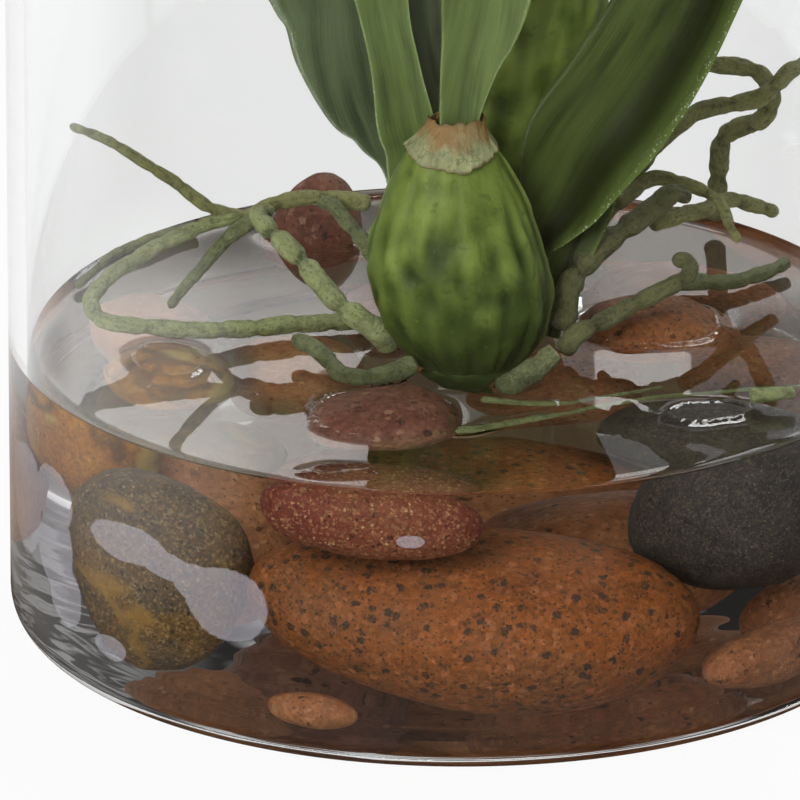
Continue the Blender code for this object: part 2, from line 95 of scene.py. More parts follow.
def length_property(name, description, millimetres):
    return number_property(name, description, millimetres * MM, "LENGTH")


class VaseSettings(bpy.types.PropertyGroup):
    """Sizes and colours of the glass and of the cast water."""

    wall: length_property("Wall", "Thickness of the glass wall", 4.0)
    base: length_property("Base", "Thickness of the glass under the stones", 6.0)
    foot_round: length_property("Foot round", "Radius of the outer edge at the foot", 7.0)
    lip_round: length_property("Lip round", "Radius of the two edges of the rim", 1.2)
    meniscus: length_property("Meniscus", "Height that the cast water climbs up what stands in it", 1.3)
    glass: colour_property("Glass", "Tint of each surface of the glass", (0.955, 0.963, 0.960))
    water: colour_property("Water", "Tint of the cast water's surface", (0.97, 0.97, 0.965))


class PlantSettings(bpy.types.PropertyGroup):
    """Colours of the plant."""

    # The ridge colour is the painted highlight on the bulbs' lumps and also the colour of their pale flecks.
    # The groove colour is the painted shade in their grooves, the colour of their stains and their colour
    # towards the water.
    bulb_light: colour_property("Bulb ridges", "Colour on the ridges of the pseudobulbs", tone(128, 146, 66))
    bulb_mid: colour_property("Bulb", "Main colour of the pseudobulbs", tone(86, 103, 40))
    bulb_dark: colour_property("Bulb grooves", "Colour in the grooves of the pseudobulbs", tone(46, 59, 23))
    leaf: colour_property("Leaf", "Main colour of the leaves", tone(100, 118, 66))
    leaf_dark: colour_property("Leaf shade", "Colour of the leaves' veins and folds", tone(66, 82, 44))
    root: colour_property("Root", "Main colour of the roots", tone(120, 126, 86))
    root_dark: colour_property("Root shade", "Colour in the roots' hollows", tone(66, 72, 44))
    husk: colour_property("Husk", "Main colour of the dry husk", tone(146, 148, 104))
    husk_edge: colour_property("Husk edge", "Colour of the husk's torn edges", tone(138, 106, 60))


class FlowerSettings(bpy.types.PropertyGroup):
    """Colours of the blooms."""

    petal: colour_property("Petal", "Main colour of the petals", tone(226, 218, 196))
    petal_heart: colour_property("Petal heart", "Colour of the petals towards the middle", tone(196, 202, 148))
    lip: colour_property("Lip", "Main colour of the lip", tone(220, 186, 96))
    lip_spot: colour_property("Lip spots", "Colour of the lip's spots", tone(150, 70, 50))


class StageSettings(bpy.types.PropertyGroup):
    """Floor and lamps."""

    floor: colour_property("Floor", "Colour of the floor", (0.92, 0.92, 0.92))
    key: number_property("Key lamp", "Power of the main soft lamp", 71.0, "POWER")
    back: number_property("Back lamp", "Power of the lamp behind the plant", 17.6, "POWER")
    sky: number_property("Room light", "Strength of the light from all round", 0.46)


# ---------------------------------------------------------------- shader kit


class Wire:
    """An output socket that works in Python expressions: each operation adds its Math node."""

    def __init__(self, paint, socket):
        self.paint = paint
        self.socket = socket

    def maths(self, operation, *values):
        return self.paint.node("Math", {"operation": operation}, dict(enumerate(values)))

    def __add__(self, other):
        return self.maths("ADD", self, other)

    def __sub__(self, other):
        return self.maths("SUBTRACT", self, other)

    def __rsub__(self, other):
        return self.maths("SUBTRACT", other, self)

    def __mul__(self, other):
        return self.maths("MULTIPLY", self, other)

    def __truediv__(self, other):
        return self.maths("DIVIDE", self, other)

    def __abs__(self):
        return self.maths("ABSOLUTE", self)

    def at_most(self, other):
        return self.maths("MINIMUM", self, other)

    def at_least(self, other):
        return self.maths("MAXIMUM", self, other)

    __radd__ = __add__
    __rmul__ = __mul__


class Paint:
    """A material, or a world, and the one method that adds any node to it."""

    def __init__(self, name, kind="materials"):
        self.block = getattr(bpy.data, kind).new(name)
        self.block.use_nodes = True
        self.tree = self.block.node_tree
        self.tree.nodes.clear()

    def node(self, kind, settings=None, inputs=None, output=0):
        """Adds a node: its settings first, then the values or links of its sockets."""
        made = self.tree.nodes.new("ShaderNode" + kind)
        for key, value in (settings or {}).items():
            if key == "stops":
                self.set_stops(made.color_ramp, value)
            else:
                setattr(made, key, value)
        for key, value in (inputs or {}).items():
            self.feed(made.inputs[key], value)
        return Wire(self, made.outputs[output]) if len(made.outputs) else None

    def set_stops(self, ramp, stops):
        while len(ramp.elements) < len(stops):
            ramp.elements.new(1.0)
        for element, (place, colour) in zip(ramp.elements, stops):
            element.position = place
            element.color = (*colour, 1.0) if isinstance(colour, tuple) else (colour, colour, colour, 1.0)

    def feed(self, socket, value):
        if isinstance(value, Wire):
            self.tree.links.new(value.socket, socket)
        elif socket.type == "RGBA":
            socket.default_value = (*tuple(value)[:3], 1.0)
        else:
            socket.default_value = value

    def mix(self, factor, first, second, blend="MIX"):
        """A colour between two."""
        settings = {"data_type": "RGBA", "blend_type": blend}
        return self.node("Mix", settings, {0: factor, 6: first, 7: second}, 2)

    def ramp(self, value, *stops):
        return self.node("ValToRGB", {"stops": stops}, {"Fac": value})

    def step(self, value, low, high):
        """0 below low and 1 above high, smooth between."""
        inputs = {"Value": value, "From Min": low, "From Max": high}
        return self.node("MapRange", {"interpolation_type": "SMOOTHSTEP"}, inputs)

    def fall(self, value, low, high):
        """1 below low and 0 above high, smooth between."""
        return 1.0 - self.step(value, low, high)

    def place(self, stretch=(1, 1, 1), offset=(0, 0, 0), source="Object"):
        """The surface's own coordinates in metres, moved and stretched."""
        own = self.node("TexCoord", None, None, source)
        return self.node("Mapping", None, {"Vector": own, "Location": offset, "Scale": stretch})

    def along(self, across, lengthways, detail=2.0, roughness=0.5):
        """A grain drawn out along a blade, a petal or a root."""
        return self.grain(self.place((across, lengthways, 1.0), source="UV"), 1.0, detail, roughness)

    def grain(self, vector, scale, detail=4.0, roughness=0.55, output=0):
        inputs = {"Vector": vector, "Scale": scale, "Detail": detail, "Roughness": roughness}
        return self.node("TexNoise", None, inputs, output)

    def cells(self, vector, scale, output="Distance"):
        return self.node("TexVoronoi", {"feature": "F1"}, {"Vector": vector, "Scale": scale}, output)

    def chance(self, vector, scale):
        """A value from 0 to 1 that changes from one small grain of the surface to the next."""
        return self.node("SeparateColor", None, {0: self.cells(vector, scale, "Color")})

    def bits(self, vector, scale, share):
        """Separate grains: a share of the cells, each kept clear of its neighbours."""
        dots = self.fall(self.cells(vector, scale), 0.30, 0.44)
        return dots * self.step(self.chance(vector, scale), 1.0 - share, 1.02 - share)

    def warp(self, vector, scale, amount):
        """Coordinates pushed about by a cloud, so that grains and bands aren't regular."""
        cloud = self.grain(vector, scale, 2.0, 0.5, "Color")
        return self.node("VectorMath", {"operation": "MULTIPLY_ADD"},
                         {0: cloud, 1: (amount, amount, amount), 2: vector})

    def parts(self, vector):
        """The three numbers of a vector."""
        return [self.node("SeparateXYZ", None, {0: vector}, axis) for axis in "XYZ"]

    def mark(self, name):
        """A value that the mesh itself carries, point by point."""
        return self.node("Attribute", {"attribute_name": name}, None, "Fac")

    def bump(self, height, depth):
        return self.node("Bump", None, {"Height": height, "Distance": depth, "Strength": 1.0}, "Normal")

    def shader(self, colour, roughness, **sockets):
        inputs = {"Base Color": colour, "Roughness": roughness}
        inputs.update({key.replace("_", " "): value for key, value in sockets.items()})
        return self.node("BsdfPrincipled", None, inputs)

    def clear(self, tint=WHITE):
        """A surface that lets everything straight through."""
        return self.node("BsdfTransparent", None, {"Color": tint})

    def glow(self, colour, strength=1.0):
        return self.node("Emission", None, {"Color": colour, "Strength": strength})

    def blend(self, factor, first, second):
        return self.node("MixShader", None, {0: factor, 1: first, 2: second})

    def ray(self, kind):
        """What the ray that reaches the surface is, or has been through."""
        return self.node("LightPath", None, None, kind)

    def done(self, shader, output="OutputMaterial"):
        self.node(output, None, {"Surface": shader})
        return self.block


# ---------------------------------------------------------------- finishes

# Glass and cast resin bend light alike. What lamps lose on their way through a surface of each.
CLEAR_IOR = 1.5
GLASS_LETS = (0.93, 0.94, 0.935)
WATER_LETS = (0.95, 0.95, 0.94)
FILM_COLOUR = (0.66, 0.62, 0.70)
KEEL_COLOUR = tone(150, 164, 96)
# Colour of the glints painted as highlights along the leaves' rims.
PAINTED_GLINT_COLOUR = tone(214, 224, 196)
CUT_COLOUR = tone(158, 142, 108)
PETAL_VEINS = tone(188, 180, 146)
PETAL_BLUSH = tone(222, 176, 168)
# Heights in metres over which the bulbs turn paler towards their tops and darker towards the water.
BULB_PALER = (0.084, 0.106)
BULB_DARKER = (0.062, 0.098)
# How far above the water the roots begin to dry, and are dry.
DRY_HEIGHTS = (2.2, 4.5)


def clear_finish(name, tint, let_through):
    """Glass or cast resin that bends light for the eye and lets lamps reach what is inside."""
    paint = Paint(name)
    glass = paint.shader(tint, 0.0, IOR=CLEAR_IOR, Transmission_Weight=1.0)
    open_air = paint.clear(let_through)
    seen = paint.blend(paint.ray("Is Diffuse Ray"), glass, open_air)
    return paint.done(paint.blend(paint.ray("Is Shadow Ray"), seen, open_air))


# Places where a film of air crept in behind the glass: x and z of the middle and both half sizes.
AIR_FILMS = (
    (-71.0, 40.6, 8.6, 4.6), (-63.0, 38.6, 6.0, 3.4), (-57.0, 36.6, 5.0, 4.6), (-50.2, 33.4, 9.2, 8.6),
    (-87.0, 42.0, 3.8, 7.6), (-86.6, 30.5, 3.6, 9.6), (-84.4, 21.0, 3.2, 7.0), (-75.2, 14.8, 3.4, 2.8),
    (-92.5, 36.0, 3.0, 13.0), (-11.0, 53.4, 3.0, 1.5),
)
# How far the waves in their edges move them, on the whole, along x and z.
FILM_SHIFT = 1.0
FILM_STRENGTH = 0.27


def joint_finish():
    """The joint between cast water and glass, which nothing shows."""
    paint = Paint("joint_of_water_and_glass")
    return paint.done(paint.clear())


def film_finish():
    """The same joint on the glass's side, with the few milky places where a film of air crept in."""
    paint = Paint("joint_with_air_films")
    across, depth, height = paint.parts(paint.warp(paint.place(), 70.0, 0.002))
    inside = -1.0
    for x, z, half_x, half_z in AIR_FILMS:
        off_x = (across - (x + FILM_SHIFT) * MM) / (half_x * MM)
        off_z = (height - (z + FILM_SHIFT) * MM) / (half_z * MM)
        inside = (1.0 - (off_x * off_x + off_z * off_z)).at_least(inside)
    fringe = paint.grain(paint.place((1, 1, 0.3)), 900.0, 2.0)
    mask = paint.step(inside + (fringe - 0.5) * 0.25, 0.0, 0.12) * paint.fall(depth, -0.03, 0.0)
    milky = paint.shader(FILM_COLOUR, 0.35)
    return paint.done(paint.blend(mask * FILM_STRENGTH, paint.clear(), milky))


def stone_finish(name, look, seed):
    """A worn river stone: a cloudy body, grains light and dark, bands or veins, and a fine pitted skin."""
    paint = Paint(name)
    look = {**PLAIN_STONE, **look}
    main, second, dark, pale = look["colours"]
    own = paint.place(offset=(seed * 0.31, seed * 0.17, seed * 0.23))
    bent = paint.warp(own, 45.0, look["bend"])
    turned_to = {"Vector": bent, "Rotation": look["turn"], "Scale": look["stretch"]}
    cloud = paint.grain(paint.node("Mapping", None, turned_to), look["cloud"], 8.0, 0.68)
    low, high = shaded(main, 0.45), shaded(second, 0.6)
    body = paint.ramp(cloud, (0.30, low), (0.44, main), (0.56, second), (0.74, high))
    fine = paint.warp(own, 1100.0, 0.0009)
    grit = paint.chance(fine, look["grit"])
    grit_colour = paint.ramp(grit, (0.1, dark), (0.45, main), (0.7, second), (0.95, pale))
    body = paint.mix(look["grit_share"], body, grit_colour)
    blush = paint.step(paint.grain(own, 120.0, 4.0, 0.7), 0.45, 0.70)
    haze = paint.ramp(paint.grain(own, 620.0, 4.0, 0.75), (0.30, 0.25), (0.50, 0.75), (0.68, 1.0))
    body = paint.mix(0.55, body, haze, "MULTIPLY")
    size = look["grain"]
    pale_grain = paint.bits(paint.warp(own, 900.0, 0.0014), size, look["pale_share"])
    body = paint.mix(pale_grain * (0.30 + 0.40 * blush), body, pale)
    other = paint.place(offset=(seed * 0.11, seed * 0.41, seed * 0.07))
    dark_grain = paint.bits(paint.warp(other, 1000.0, 0.0016), size * 0.85, look["dark_share"])
    broken = paint.step(paint.grain(own, 1500.0, 3.0, 0.8), 0.36, 0.54)
    body = paint.mix(dark_grain * (0.35 + 0.60 * broken), body, dark)
    body = paint.mix(paint.bits(fine, size * 2.4, look["dust"]) * 0.7, body, dark)
    if look["patch_share"]:
        patch = paint.step(paint.grain(paint.warp(own, 40.0, 0.02), 38.0, 3.0, 0.5), 0.54, 0.60)
        body = paint.mix(patch * look["patch_share"], body, pale)
    if look["vein_share"]:
        gap = abs(paint.grain(paint.warp(own, 30.0, 0.03), 22.0, 3.0, 0.5) - 0.5)
        body = paint.mix(paint.fall(gap, 0.004, 0.030) * look["vein_share"], body, look["vein"])
    skin = paint.grain(own, 900.0, 4.0, 0.75) * 0.7 + paint.grain(own, 210.0, 4.0, 0.6) - grit * 0.12
    rougher = 0.25 * paint.grain(own, 260.0, 3.0) + 0.42
    return paint.done(paint.shader(body, rougher, Normal=paint.bump(skin, 0.0006), Specular_IOR_Level=0.22))


def bulb_finish(name, settings, shade=1.0):
    """A fleshy green skin: a painted highlight makes it pale on the lumps and painted shade makes it dark in
    the grooves; it is also darker towards the water.
    """
    paint = Paint(name)
    own = paint.place()
    height = paint.parts(own)[2]
    streak = paint.grain(paint.place((1, 1, 0.22)), 330.0, 3.0, 0.6)
    cloud = paint.grain(paint.warp(own, 90.0, 0.01), 110.0, 4.0, 0.6)
    # The mark read here is painted light and shade: pale on the lumps as a painted highlight, dark in the
    # grooves and dents as painted shade.
    level = paint.mark("ridge") * 0.85 + streak * 0.16 + cloud * 0.34 - 0.19
    level = level + paint.step(height, *BULB_PALER) * 0.12
    dark, mid, light = (shaded(colour, shade) for colour in
                        (settings.bulb_dark, settings.bulb_mid, settings.bulb_light))
    colour = paint.ramp(level, (0.14, dark), (0.46, mid), (0.84, light))
    colour = paint.mix(paint.fall(height, *BULB_DARKER) * 0.9, colour, dark)
    stain = paint.step(paint.grain(paint.place((1, 1, 1.6)), 240.0, 3.0, 0.65), 0.60, 0.72)
    colour = paint.mix(stain * 0.35, colour, dark)
    fleck = paint.step(paint.grain(own, 700.0, 2.0), 0.62, 0.78)
    colour = paint.mix(fleck * 0.22, colour, light)
    colour = paint.mix(paint.mark("keel") * 0.6, colour, KEEL_COLOUR)
    skin = paint.grain(own, 1100.0, 3.0) * 0.5 + streak
    return paint.done(paint.shader(colour, 0.5, Normal=paint.bump(skin, 0.0003), Specular_IOR_Level=0.2))


def leaf_finish(name, settings, shade, roughness, rim_highlight, groove, shine=0.45):
    """A leaf with fine parallel veins, painted shade in its fold, a painted highlight and painted glints along
    its rims, and patches of painted sheen. groove says how dark the painted shade in its fold is, and the rim
    highlight how strong the painted highlight and glints on its rims are.
    """
    paint = Paint(name)
    veins = paint.along(60.0, 0.5)
    broad = paint.along(3.2, 0.22)
    own = paint.place()
    cloud = paint.grain(own, 34.0, 4.0, 0.6)
    mid, dark = shaded(settings.leaf, shade), shaded(settings.leaf_dark, shade)
    light = shaded(mid, 1.35)
    colour = paint.ramp(veins * 0.22 + broad * 0.48 + cloud * 0.3, (0.38, dark), (0.5, mid), (0.62, light))
    # Painted shade in the leaf's fold, strongest along the fold mark.
    colour = paint.mix(paint.mark("fold") * groove * (0.55 + 0.6 * broad), colour, shaded(dark, 0.22))
    rim = paint.mark("rim")
    # Painted highlight along the rims, with painted glints dotted along them.
    colour = paint.mix(rim * rim_highlight, colour, shaded(mid, 2.4))
    painted_glints = paint.bits(paint.warp(own, 900.0, 0.001), 1500.0, 0.28)
    colour = paint.mix(rim * painted_glints * rim_highlight, colour, PAINTED_GLINT_COLOUR)
    # Painted sheen: pale patches standing in for a soft reflection on the leaf.
    painted_sheen = paint.step(paint.grain(own, 420.0, 3.0, 0.7), 0.66, 0.78)
    colour = paint.mix(painted_sheen * 0.25, colour, light)
    skin = veins * 0.5 + paint.grain(own, 700.0, 2.0) * 0.3 + paint.grain(own, 90.0, 2.0) * 0.8
    normal = paint.bump(skin, 0.0003)
    return paint.done(paint.shader(colour, roughness, Normal=normal, Specular_IOR_Level=shine))


def root_finish(name, settings, shade):
    """A matt, fibrous root skin, streaked along its length and wet just above the water, with painted light
    and shade: paler on its swellings, darker in its waists.
    """
    paint = Paint(name)
    own = paint.place()
    cloud = paint.grain(own, 150.0, 4.0, 0.7)
    fibre = paint.along(14.0, 2.4, 4.0, 0.7)
    fine = paint.grain(own, 950.0, 4.0, 0.8)
    mid, dark = shaded(settings.root, shade), shaded(settings.root_dark, shade)
    light = shaded(mid, 1.45)
    # The mark read here is painted light and shade: paler on the swellings and bumps, darker in the waists
    # between them.
    level = paint.mark("ridge") * 0.35 + cloud * 0.35 + fibre * 0.30
    colour = paint.ramp(level, (0.36, dark), (0.48, mid), (0.60, light))
    colour = paint.mix(paint.step(fine, 0.50, 0.62) * 0.45, colour, light)
    colour = paint.mix(paint.fall(fine, 0.36, 0.48) * 0.6, colour, dark)
    colour = paint.mix(paint.mark("cut"), colour, CUT_COLOUR)
    wet = paint.fall(paint.parts(own)[2], *((WATER_LEVEL + height) * MM for height in DRY_HEIGHTS))
    colour = paint.mix(wet * 0.45, colour, dark)
    skin = fine * 1.2 + fibre + cloud
    return paint.done(paint.shader(colour, 0.66 - 0.52 * wet, Normal=paint.bump(skin, 0.0011)))


def husk_finish(settings):
    """Dry papery tissue: pale and veined in its lower part, brown towards the neck and along its torn rim."""
    paint = Paint("dry_husk")
    fibre = paint.grain(paint.place((1, 1, 0.22)), 620.0, 4.0, 0.7)
    cloud = paint.grain(paint.place(), 170.0, 3.0, 0.6)
    dark, mid, pale, split = (shaded(settings.husk, shade) for shade in (0.5, 1.0, 1.35, 0.4))
    colour = paint.ramp(fibre * 0.6 + cloud * 0.4, (0.34, dark), (0.5, mid), (0.66, pale))
    crack = abs(paint.grain(paint.warp(paint.place(), 200.0, 0.002), 260.0, 2.0) - 0.5)
    colour = paint.mix(paint.fall(crack, 0.004, 0.022) * 0.55, colour, split)
    brown = (paint.mark("neck") * (0.6 + 0.9 * paint.step(cloud, 0.4, 0.62))).at_most(1.0)
    colour = paint.mix(brown, colour, settings.husk_edge)
    colour = paint.mix(paint.mark("rim") * 0.75, colour, shaded(settings.husk_edge, 0.6))
    return paint.done(paint.shader(colour, 0.62, Normal=paint.bump(fibre + cloud * 0.5, 0.0006)))


def petal_finish(settings):
    """Cream petals: greener towards the heart, with faint veins and a blush here and there."""
    paint = Paint("petal_cream")
    heart = paint.mark("heart")
    veins = paint.along(34.0, 2.0, 3.0, 0.6)
    colour = paint.mix(heart, settings.petal, settings.petal_heart)
    colour = paint.mix(paint.step(veins, 0.50, 0.70) * 0.35, colour, PETAL_VEINS)
    blush = paint.step(paint.grain(paint.place(), 40.0, 2.0), 0.5, 0.72)
    colour = paint.mix(blush * 0.18, colour, PETAL_BLUSH)
    return paint.done(paint.shader(colour, 0.5, Subsurface_Weight=0.08, Normal=paint.bump(veins, 0.0002)))


def lip_finish(settings):
    """A yellow lip, spotted towards its heart and cream at its rim."""
    paint = Paint("lip_yellow")
    own = paint.place()
    spots = paint.fall(paint.cells(own, 620.0), 0.16, 0.34)
    heart = paint.mark("heart")
    colour = paint.mix(heart, settings.petal, settings.lip)
    colour = paint.mix(spots * heart, colour, settings.lip_spot)
    skin = paint.bump(paint.grain(own, 500.0), 0.0002)
    return paint.done(paint.shader(colour, 0.45, Subsurface_Weight=0.06, Normal=skin))


# ---------------------------------------------------------------- mesh kit


def new_piece(name, points, faces, node, materials, marks=None, uv=None, face_slots=None, also=()):
    """A mesh piece in millimetres that rides on the body and stands for its node, which it hides."""
    mesh = bpy.data.meshes.new(name)
    mesh.from_pydata([Vector(point) * MM for point in points], [], faces)
    for material in materials:
        mesh.materials.append(material)
    if face_slots:
        mesh.polygons.foreach_set("material_index", face_slots)
    for key, values in (marks or {}).items():
        mesh.attributes.new(key, "FLOAT", "POINT").data.foreach_set("value", values)
    if uv:
        layer = mesh.uv_layers.new(name="UVMap").data
        for loop in mesh.loops:
            layer[loop.index].uv = uv[loop.vertex_index]
    mesh.shade_smooth()
    mesh.validate()
    piece = bpy.data.objects.new(name, mesh)
    bpy.context.scene.collection.objects.link(piece)
    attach(piece, "root")
    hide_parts(node, *also)
    return piece


def tube_faces(rings, count, closed_ends=True):
    """Faces of a body made of equal rings of points, in order."""
    faces = []
    for k in range(rings - 1):
        for i in range(count):
            j = (i + 1) % count
            faces.append((k * count + i, k * count + j, (k + 1) * count + j, (k + 1) * count + i))
    if closed_ends:
        faces.append(tuple(reversed(range(count))))
        faces.append(tuple(range((rings - 1) * count, rings * count)))
    return faces


def spokes(count):
    """Evenly spaced turns all the way round, each with its cosine and sine."""
    turns = [2 * math.pi * i / count for i in range(count)]
    return [(turn, math.cos(turn), math.sin(turn)) for turn in turns]


def across_sheet(columns):
    """Steps across a thin sheet and back on its other side: the side, 1 or -1, and a place from -1 to 1."""
    return [(side, (2 * i / columns - 1) * side) for side in (1, -1) for i in range(columns + 1)]


def bent(a, b, c, d, t):
    """A place from b to c, on a Catmull-Rom curve through all four."""
    squared = (2 * a - 5 * b + 4 * c - d) * t * t
    cubed = (3 * b - a - 3 * c + d) * t * t * t
    return 0.5 * (2 * b + (c - a) * t + squared + cubed)


def smooth_route(points, per_span):
    """Points read from a smooth curve through the given ones."""
    given = [Vector(point) for point in points]
    ends = [given[0] * 2 - given[1], *given, given[-1] * 2 - given[-2]]
    route = []
    for span in zip(ends, ends[1:], ends[2:], ends[3:]):
        route += [bent(*span, k / per_span) for k in range(per_span)]
    return [*route, given[-1]]


def frames(route):
    """A side and an up direction at each point of a route, turned as little as possible along it."""
    before, after = [route[0], *route], [*route[1:], route[-1]]
    tangents = [(there - here).normalized() for here, there in zip(before, after)]
    side = tangents[0].orthogonal().normalized()
    found = []
    for tangent in tangents:
        side = (side - tangent * side.dot(tangent)).normalized()
        found.append((side, tangent.cross(side)))
    return found


def tube_points(route, sides, reach):
    """Rings of points round a route. reach gives a radius from the share of it, the spot, way and turn."""
    points = []
    for k, (spot, (side, up)) in enumerate(zip(route, frames(route))):
        for turn, x, y in spokes(sides):
            way = side * x + up * y
            points.append(spot + way * reach(k / (len(route) - 1), spot, way, turn))
    return points


def smooth_value(stations, t):
    """A value read smoothly from evenly spaced stations, t running from 0 to 1."""
    spot = t * (len(stations) - 1)
    k = min(int(spot), len(stations) - 2)
    before, after = stations[max(k - 1, 0)], stations[min(k + 2, len(stations) - 1)]
    return bent(before, stations[k], stations[k + 1], after, spot - k)


def bell(value, width):
    """1 where the value is 0, falling smoothly to nothing a few widths away from it."""
    return math.exp(-(value / width) ** 2)


def soft_step(value, low, high):
    """0 below low and 1 above high, smooth between."""
    t = min(max((value - low) / (high - low), 0.0), 1.0)
    return t * t * (3 - 2 * t)


# ---------------------------------------------------------------- vase and water

VASE_SEGMENTS = 192
WATER_RINGS = 170
WATER_SEGMENTS = 288
# How much closer the rings of the water's surface lie towards the glass.
RING_CROWDING = 1.15
# The underside: how high it is hollowed, how far inside the foot that begins and over what width, how high
# its waves are, and the radius of its first ring with the step to the next.
HOLLOW = 0.9
HOLLOW_INSET = 4.0
HOLLOW_WIDTH = 6.0
UNDER_WAVES = 0.20
UNDER_RADII = (16, 2)
# Heights of the rings up the wall, outside and inside, the radius of the inner corner, and the base's rings.
WALL_HEIGHTS = (30.0, 60.0, 120.0, 180.0)
DRY_RINGS = (180.0, 120.0)
WET_RING = 40.0
CORNER = 4.0
BASE_RADII = (60.0, 20.0)
# How far from the glass and from what stands in it the water's climb dies away.
CLIMB_AT_GLASS = 1.5
CLIMB_AT_PIECES = 1.1
# The gap between the water's hidden side and the glass.
JOINT_GAP = 0.02


def arc(centre_r, centre_z, radius, start, end, steps):
    """Points of an arc in the plane of a turned profile, as (r, z)."""
    turns = [math.radians(start + (end - start) * i / steps) for i in range(steps + 1)]
    return [(centre_r + radius * math.cos(t), centre_z + radius * math.sin(t)) for t in turns]


def turned(profile, segments):
    """Rings of points from a profile of radii and heights."""
    return [(r * x, r * y, z) for r, z in profile for _, x, y in spokes(segments)]


def make_vase(settings):
    """The glass. Its wall meets the cast water without a trace: only its outside and its dry inside show."""
    wall, base = settings.wall / MM, settings.base / MM
    foot, lip = settings.foot_round / MM, settings.lip_round / MM
    inner = VASE_RADIUS - wall
    wet_top = WATER_LEVEL + settings.meniscus / MM
    standing = VASE_RADIUS - foot - HOLLOW_INSET
    first, step = UNDER_RADII
    radii = range(first, int(standing) + 1, step)
    profile = [(r, HOLLOW * soft_step(standing - r, 0.0, HOLLOW_WIDTH)) for r in radii]
    under_rings = len(profile)
    profile += arc(VASE_RADIUS - foot, foot, foot, -90, 0, 12)
    profile += [(VASE_RADIUS, z) for z in WALL_HEIGHTS]
    profile += arc(VASE_RADIUS - lip, VASE_HEIGHT - lip, lip, 0, 90, 5)
    profile += arc(inner + lip, VASE_HEIGHT - lip, lip, 90, 180, 5)
    profile += [(inner, z) for z in (*DRY_RINGS, wet_top)]
    dry_rings = len(profile)
    profile += [(inner, WET_RING)]
    profile += arc(inner - CORNER, base + CORNER, CORNER, 0, -90, 4)
    profile += [(r, base) for r in BASE_RADII]
    faces = tube_faces(len(profile), VASE_SEGMENTS)
    hidden = (dry_rings - 1) * VASE_SEGMENTS
    slots = [0 if i < hidden else 1 for i in range(len(faces) - 2)] + [0, 1]
    glass = clear_finish("clear_glass", settings.glass, GLASS_LETS)
    points = [Vector(point) for point in turned(profile, VASE_SEGMENTS)]
    for point in points[:under_rings * VASE_SEGMENTS]:
        waves = noise.noise(point * 0.07) + 0.5 * noise.noise(Vector((point.xy.length * 0.22, 0, 5)))
        point.z += UNDER_WAVES * waves * point.z / HOLLOW
    materials = [glass, film_finish()]
    return new_piece("vase_glass", points, faces, "glass_vase", materials, face_slots=slots)


def waterline_tree(pieces):
    """A search tree of the points where the given pieces pass through the water's surface."""
    found = []
    for piece in pieces:
        mesh = piece.data
        heights = [vertex.co.z / MM - WATER_LEVEL for vertex in mesh.vertices]
        for edge in mesh.edges:
            a, b = edge.vertices
            if (heights[a] > 0) != (heights[b] > 0):
                share = heights[a] / (heights[a] - heights[b])
                spot = mesh.vertices[a].co.lerp(mesh.vertices[b].co, share) / MM
                found.append(Vector((spot.x, spot.y, 0)))
    tree = kdtree.KDTree(len(found))
    for i, spot in enumerate(found):
        tree.insert(spot, i)
    tree.balance()
    return tree


def make_water(settings, standing):
    """The cast water: a flat clear top that climbs a little up the glass and up all that stands in it."""
    inner, base = VASE_RADIUS - settings.wall / MM, settings.base / MM
    rise = settings.meniscus / MM
    tree = waterline_tree(standing)
    points = []
    for k in range(1, WATER_RINGS + 1):
        radius = inner * (1 - (1 - k / WATER_RINGS) ** RING_CROWDING)
        at_glass = rise * math.exp(-(inner - radius) / CLIMB_AT_GLASS)
        for _, x, y in spokes(WATER_SEGMENTS):
            spot = Vector((radius * x, radius * y, 0))
            climb = at_glass + 0.8 * rise * math.exp(-tree.find(spot)[2] / CLIMB_AT_PIECES)
            swell = 0.05 * noise.noise(spot * 0.035)
            points.append((spot.x, spot.y, WATER_LEVEL + min(climb, rise) + swell * (1 - k / WATER_RINGS)))
    side = inner - JOINT_GAP
    below = ((side, WALL_HEIGHTS[0]), (side, base + CORNER + 0.3), (inner - CORNER - 0.2, base + 0.2))
    points += turned(below, WATER_SEGMENTS)
    faces = tube_faces(len(points) // WATER_SEGMENTS, WATER_SEGMENTS)
    shown = (WATER_RINGS - 1) * WATER_SEGMENTS
    slots = [0 if i < shown else 1 for i in range(len(faces) - 2)] + [0, 1]
    faces = [tuple(reversed(face)) for face in faces]
    materials = [clear_finish("clear_cast_water", settings.water, WATER_LETS), joint_finish()]
    return new_piece("cast_water", points, faces, "water_fill", materials, face_slots=slots)


# ---------------------------------------------------------------- stones

